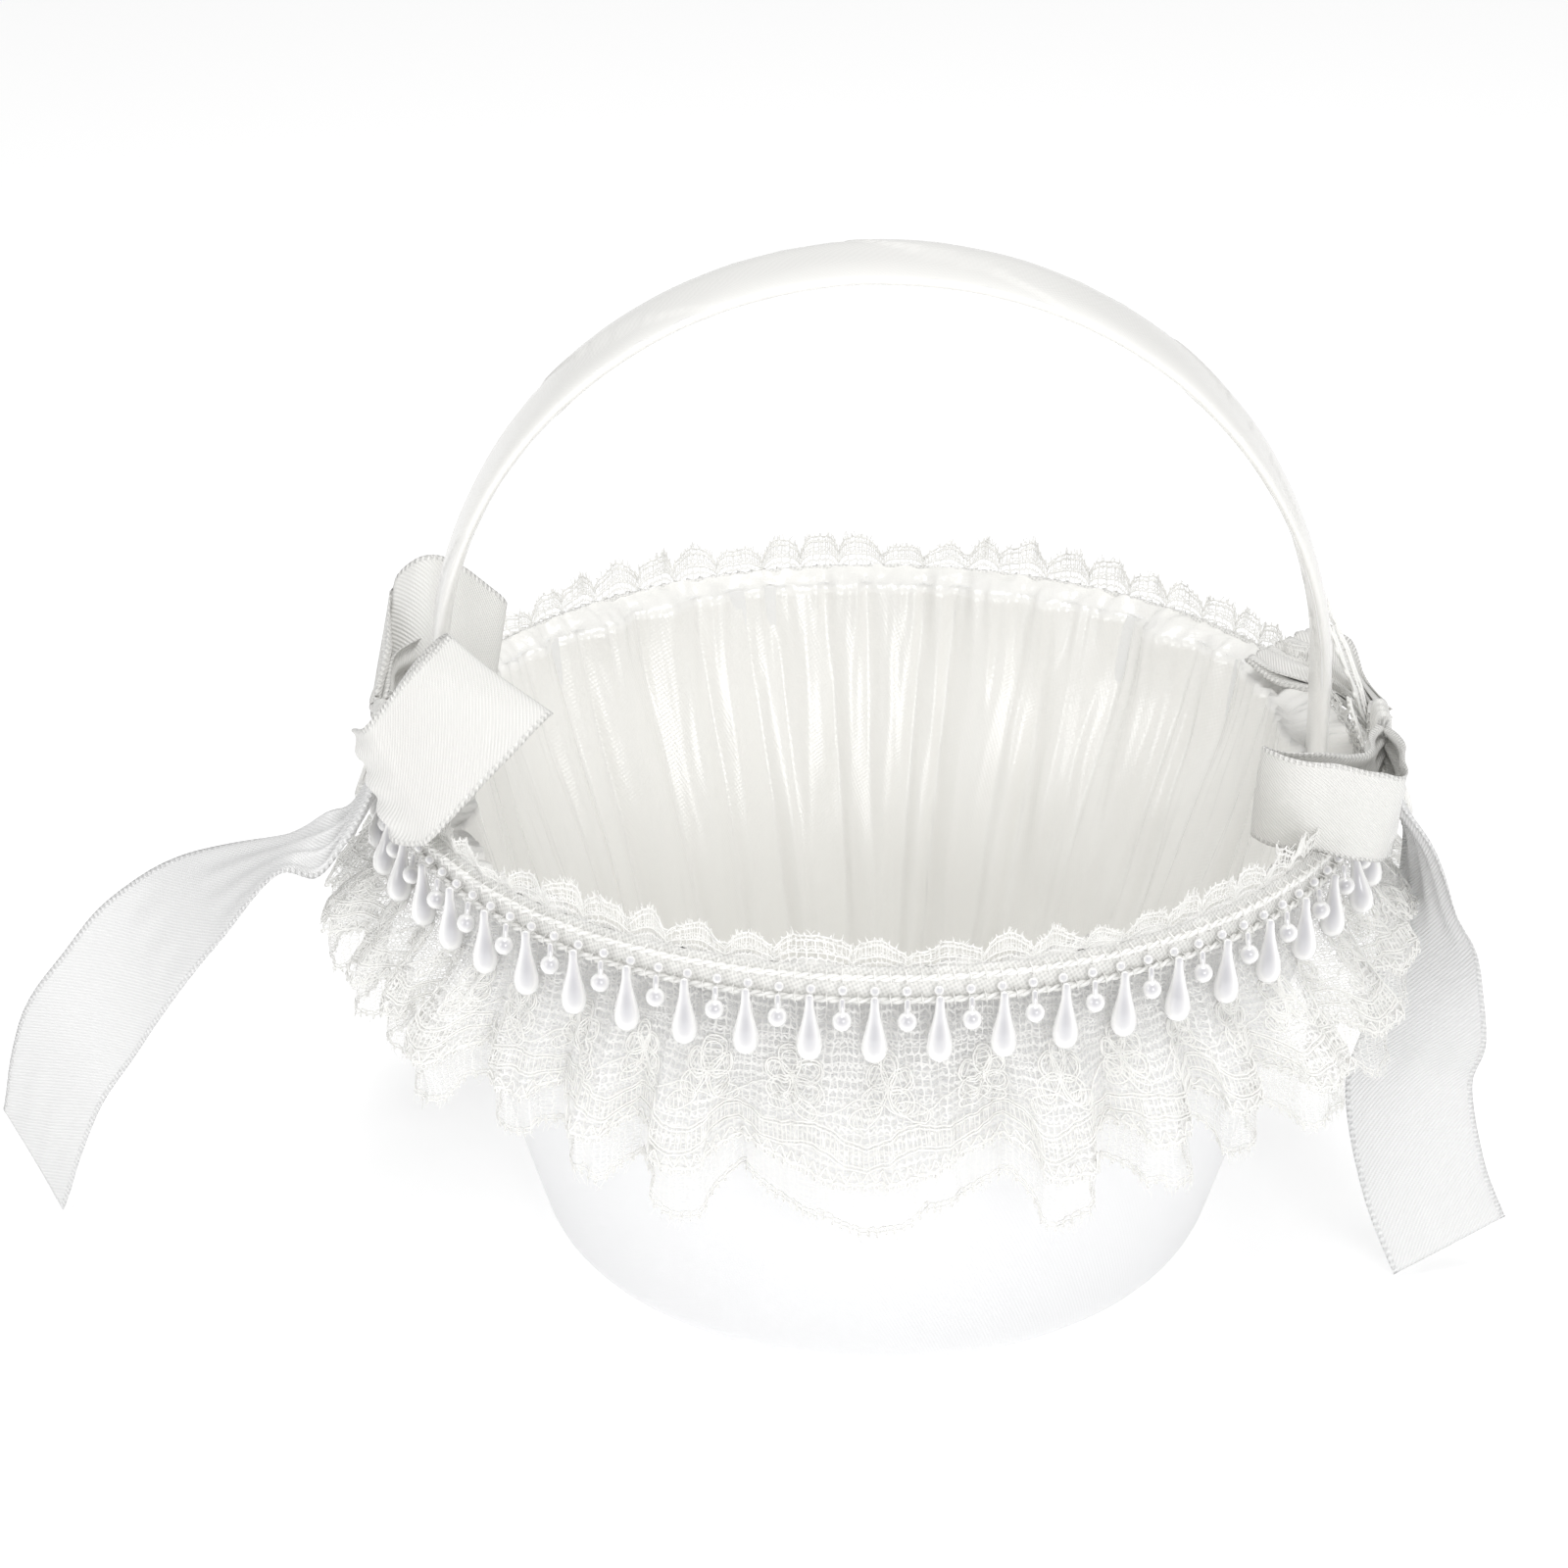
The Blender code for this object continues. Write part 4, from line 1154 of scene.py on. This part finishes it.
def ribbon(name, stations, side, material, ripple=0.0005):
    mirror = Vector((side, 1.0, 1.0))
    middles = [Vector(c) * mirror for c, _, _ in stations]
    acrosses = [Vector(a).normalized() * share * mirror for _, a, share in stations]
    last = len(stations) - 1
    samples = [along_points(middles, last * k / RIBBON_STEPS) for k in range(RIBBON_STEPS + 1)]
    run = [0.0]
    for a, b in zip(samples, samples[1:]):
        run.append(run[-1] + (b - a).length)
    length = run[-1]

    def station(u):
        want = u * length
        low, high = 0, RIBBON_STEPS
        while high - low > 1:
            k = (low + high) // 2
            low, high = (k, high) if run[k] <= want else (low, k)
        part = (want - run[low]) / max(run[high] - run[low], 1e-9)
        return last * (low + part) / RIBBON_STEPS

    def place(u, v):
        t = station(u)
        middle = along_points(middles, t)
        ahead = along_points(middles, min(t + 0.05, last)) - along_points(middles, max(t - 0.05, 0))
        across = along_points(acrosses, t)
        share = min(1.0, across.length)
        normal = ahead.cross(across).normalized()
        fan = 0.00095 * math.sqrt(max(0.0, 1.0 - share * share))
        fold = fan * math.cos(2 * math.pi * FAN_FOLDS * v + 1.3 * side)
        crease = ripple * noise.noise(Vector((u * 9.0, v * 0.8, 3.0 * side + len(stations))))
        return middle + across * (v - 0.5) * RIBBON_WIDE + normal * (fold + crease)

    flat = (length, RIBBON_WIDE)
    obj = cloth(name + "_cloth", (max(60, int(length / 0.0007)), 28), flat, place, material,
                wall=0.00022)
    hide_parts(name)
    return obj, flat


UP = (0.0, 0.0, -1.0)
LEFT_FACE = (-0.10, 0.70, 0.70)
OVERHANG = (-0.03, 0.40, -0.915)

# %% [markdown]
# In the left bow the front loop lies open with its corner towards the front, the back loop stands
# behind the handle, and the long tail reaches out to the side. Stations are given for +X and
# mirrored by the side.

# %% Left bow
left_front, left_front_flat = ribbon("left_bow_front_loop", [
    ((0.0830, -0.0155, 0.0985), UP, 0.25),
    ((0.0828, -0.0220, 0.0975), (-0.15, -0.25, -0.95), 0.40),
    ((0.0842, -0.0310, 0.0985), (-0.35, -0.42, -0.84), 0.88),
    ((0.0800, -0.0365, 0.1011), (-0.46, -0.51, -0.73), 1.0),
    ((0.0722, -0.0330, 0.1088), (-0.60, -0.45, -0.63), 1.0),
    ((0.0645, -0.0260, 0.1147), (-0.78, -0.38, -0.50), 1.0),
    ((0.0632, -0.0232, 0.1150), (-0.78, -0.38, -0.50), 1.0),
    ((0.0655, -0.0205, 0.1128), (-0.78, -0.38, -0.50), 1.0),
    ((0.0735, -0.0178, 0.1075), (-0.60, -0.35, -0.70), 0.7),
    ((0.0805, -0.0165, 0.1030), (-0.30, -0.25, -0.90), 0.45),
    ((0.0832, -0.0155, 0.1005), UP, 0.30)], -1, LOOP_RIBBON, ripple=0.0022)
left_back, left_back_flat = ribbon("left_bow_back_loop", [
    ((0.0848, -0.0065, 0.1000), UP, 0.36),
    ((0.0858, 0.0050, 0.0985), (-0.1, -0.25, 0.95), 0.6),
    ((0.0862, 0.0165, 0.1000), LEFT_FACE, 1.0),
    ((0.0850, 0.0205, 0.1035), LEFT_FACE, 1.0),
    ((0.0800, 0.0222, 0.1060), LEFT_FACE, 1.0),
    ((0.0745, 0.0235, 0.1040), LEFT_FACE, 1.0),
    ((0.0690, 0.0240, 0.1000), LEFT_FACE, 1.0),
    ((0.0665, 0.0245, 0.0960), LEFT_FACE, 1.0),
    ((0.0695, 0.0230, 0.0945), LEFT_FACE, 1.0),
    ((0.0780, 0.0190, 0.0955), LEFT_FACE, 0.85),
    ((0.0842, 0.0060, 0.0985), (-0.1, -0.1, 0.95), 0.5),
    ((0.0832, -0.0065, 0.1005), UP, 0.36)], -1, LOOP_RIBBON, ripple=0.0014)
left_tail, left_tail_flat = ribbon("left_bow_tail", [
    ((0.0846, -0.0115, 0.0950), (0, -1, 0), 0.30),
    ((0.0868, -0.0112, 0.0880), (0, -1, 0), 0.36),
    ((0.0905, -0.0115, 0.0815), (0.1, -0.9, -0.3), 0.45),
    ((0.0950, -0.0130, 0.0785), (0.1, -0.8, -0.5), 0.6),
    ((0.1020, -0.0127, 0.0765), (0, -0.95, 0.1), 0.9),
    ((0.1162, -0.0110, 0.0677), (-0.37, -0.88, -0.30), 1.0),
    ((0.1278, -0.0080, 0.0557), (-0.50, -0.57, -0.65), 1.0),
    ((0.1354, -0.0050, 0.0445), (-0.59, -0.39, -0.71), 1.0),
    ((0.1443, -0.0010, 0.0296), (-0.65, -0.45, -0.61), 1.0),
    ((0.1512, 0.0045, 0.0072), (-0.53, -0.60, -0.60), 1.0)], -1, TAIL_RIBBON)

# %% [markdown]
# In the right bow the front loop hangs in front of the handle, the back loop is flatter, and
# the tail falls down along the bowl with one half turn.

# %% Right bow
right_front, right_front_flat = ribbon("right_bow_front_loop", [
    ((0.0846, -0.0155, 0.0985), UP, 0.30),
    ((0.0860, -0.0235, 0.0968), (0, 0.25, -0.95), 0.70),
    ((0.0840, -0.0380, 0.0957), OVERHANG, 1.0),
    ((0.0785, -0.0425, 0.0982), OVERHANG, 1.0),
    ((0.0700, -0.0445, 0.1007), OVERHANG, 1.0),
    ((0.0635, -0.0425, 0.1012), OVERHANG, 1.0),
    ((0.0608, -0.0385, 0.1010), OVERHANG, 1.0),
    ((0.0638, -0.0368, 0.0994), OVERHANG, 1.0),
    ((0.0712, -0.0372, 0.0990), OVERHANG, 0.97),
    ((0.0790, -0.0300, 0.0975), (0, 0.25, -0.97), 0.70),
    ((0.0832, -0.0155, 0.0990), UP, 0.30)], 1, LOOP_RIBBON, ripple=0.0018)
right_back, right_back_flat = ribbon("right_bow_back_loop", [
    ((0.0836, -0.0062, 0.0975), (0, 0, 1), 0.25),
    ((0.0850, 0.0050, 0.0945), (0, 0, 1), 0.25),
    ((0.0850, 0.0150, 0.0912), (0.5, 0, 0.85), 0.18),
    ((0.0822, 0.0235, 0.0912), (0.8, 0.3, 0.30), 0.30),
    ((0.0770, 0.0320, 0.0924), (0.80, 0.52, 0.20), 0.75),
    ((0.0725, 0.0380, 0.0926), (0.80, 0.55, 0.15), 0.70),
    ((0.0717, 0.0392, 0.0929), (0.80, 0.55, 0.15), 0.70),
    ((0.0728, 0.0384, 0.0934), (0.80, 0.55, 0.15), 0.70),
    ((0.0775, 0.0325, 0.0936), (0.80, 0.52, 0.20), 0.75),
    ((0.0826, 0.0240, 0.0924), (0.8, 0.3, 0.30), 0.30),
    ((0.0856, 0.0150, 0.0925), (0.5, 0, 0.85), 0.18),
    ((0.0856, -0.0062, 0.0985), (0, 0, 1), 0.25)], 1, LOOP_RIBBON)
right_tail, right_tail_flat = ribbon("right_bow_tail", [
    ((0.0846, -0.0115, 0.0950), (0, -1, 0), 0.30),
    ((0.0868, -0.0112, 0.0880), (0, -1, 0), 0.36),
    ((0.0915, -0.0095, 0.0790), (0.3, -0.95, 0), 0.5),
    ((0.0944, -0.0062, 0.0670), (0.38, -0.92, 0), 0.85),
    ((0.0957, -0.0055, 0.0570), (0.65, -0.76, 0), 1.0),
    ((0.0950, -0.0114, 0.0425), (0.88, -0.45, 0), 1.0),
    ((0.0922, -0.0145, 0.0325), (1, -0.1, 0.05), 1.0),
    ((0.0950, -0.0195, 0.0175), (0.97, 0.1, 0.2), 1.0),
    ((0.0998, -0.0230, 0.0056), (0.89, 0.2, 0.42), 1.0)], 1, TAIL_RIBBON)
for obj, flat, held, under in (
        (left_front, left_front_flat, "folded", "left_bow_knot"),
        (left_back, left_back_flat, "folded", "left_bow_knot"),
        (left_tail, left_tail_flat, "hung", "left_bow_knot"),
        (right_front, right_front_flat, "folded", "right_bow_knot"),
        (right_back, right_back_flat, "folded", "right_bow_knot"),
        (right_tail, right_tail_flat, "hung", "right_bow_knot")):
    print(obj.name, "flat", [round(x, 3) for x in flat])

# %% [markdown]
# A short piece of the same ribbon is wound tightly round the middle of each bow and sewn at the
# back. The pull gives it lengthways creases, deepest where it turns under.

# %% Knots


def knot(name):
    low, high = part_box(name)
    middle = (low + high) / 2
    half = (high - low) / 2

    def place(u, v):
        a = 2.0 * math.pi * u
        c, s = math.cos(a), math.sin(a)
        x = math.copysign(abs(c) ** 0.7, c)
        z = math.copysign(abs(s) ** 0.7, s)
        across = 2.0 * v - 1.0
        pinch = (1.0 - 0.12 * (1.0 - across * across)) * math.sqrt(1.001 - abs(across) ** 6)
        crease = 0.00022 * math.cos(across * 11.0 + 0.6 * math.sin(a * 2))
        return middle + Vector((x * (half.x * pinch - 0.0003 + crease), across * half.y * 0.97,
                                z * (half.z * pinch - 0.0003 + crease)))

    obj = cloth(name + "_band", (96, 30), (0.026, 0.0085), place, LOOP_RIBBON, closed=True,
                wall=0.0003)
    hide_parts(name)


for name in ("left_bow_knot", "right_bow_knot"):
    knot(name)

# %% [markdown]
# Behind each bow sits a lace flower cut from guipure lace. Every petal has a thick cord round
# it, a finer cord inside and ladder stitches between, over the same fine ground.

# %% Lace flowers


def flower(name, side, centre, normal, top, lengths, width):
    mirror = Vector((side, 1.0, 1.0))
    normal = Vector(normal).normalized()
    first = Vector(top)
    first = (first - first.dot(normal) * normal).normalized()
    second = normal.cross(first)
    middle = Vector(centre)

    def lift(point, out=0.0005):
        x, y = point
        cup = 0.0006 * noise.noise(Vector((x, y, 0)) * 160.0)
        return (middle + first * x + second * y + normal * (out + cup)) * mirror

    cords, rungs = [], []
    ground = bmesh.new()
    layer = ground.loops.layers.uv.new("UVMap")
    for k, length in enumerate(lengths):
        a = 2.0 * math.pi * k / len(lengths)
        broad = 0.62 * length * width if length < 0.02 else 0.0082
        petal = leaf_outline((0.0, 0.0), a, length, broad, 30)
        inner_foot = (0.0012 * math.cos(a), 0.0012 * math.sin(a))
        inside = leaf_outline(inner_foot, a, length * 0.72, broad * 0.55, 24)
        cords += [[lift(p, 0.0008) for p in petal], [lift(p, 0.0007) for p in inside]]
        scallops = []
        for i in range(len(petal) * 6):
            t = i / 6
            j = min(int(t), len(petal) - 2)
            f = t - j
            x = petal[j][0] + (petal[j + 1][0] - petal[j][0]) * f
            y = petal[j][1] + (petal[j + 1][1] - petal[j][1]) * f
            scallops.append(lift((x + 0.00045 * math.cos(i * 0.9),
                                  y + 0.00045 * math.sin(i * 0.9))))
        cords.append(scallops)
        rungs += [[lift(a_end), lift(b_end)] for a_end, b_end in ladder(petal, 0.00075)]
        verts = [ground.verts.new(lift(p, 0.0005)) for p in petal[:-1]]
        face = ground.faces.new(verts)
        for loop, p in zip(face.loops, petal):
            loop[layer].uv = p
    bmesh.ops.triangulate(ground, faces=ground.faces)
    cloth_part = as_object(ground, name + "_ground", LACE_GROUND)
    cord_part = threads(name + "_cords", cords, 0.00032)
    rung_part = threads(name + "_rungs", rungs, 0.00011)
    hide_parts(name)


flower("left_bow_applique", -1, (0.0864, 0.0, 0.0854), (0.89, 0.0, 0.456), (0.0, 0.0, 1.0),
       (0.0165, 0.012, 0.013, 0.013, 0.013, 0.013), 0.9)
flower("right_bow_applique", 1, (0.0866, 0.0036, 0.0854), (0.89, -0.08, 0.44), (-0.36, 0.61, 0.70),
       (0.035, 0.017, 0.016, 0.012, 0.0125, 0.014), 0.9)
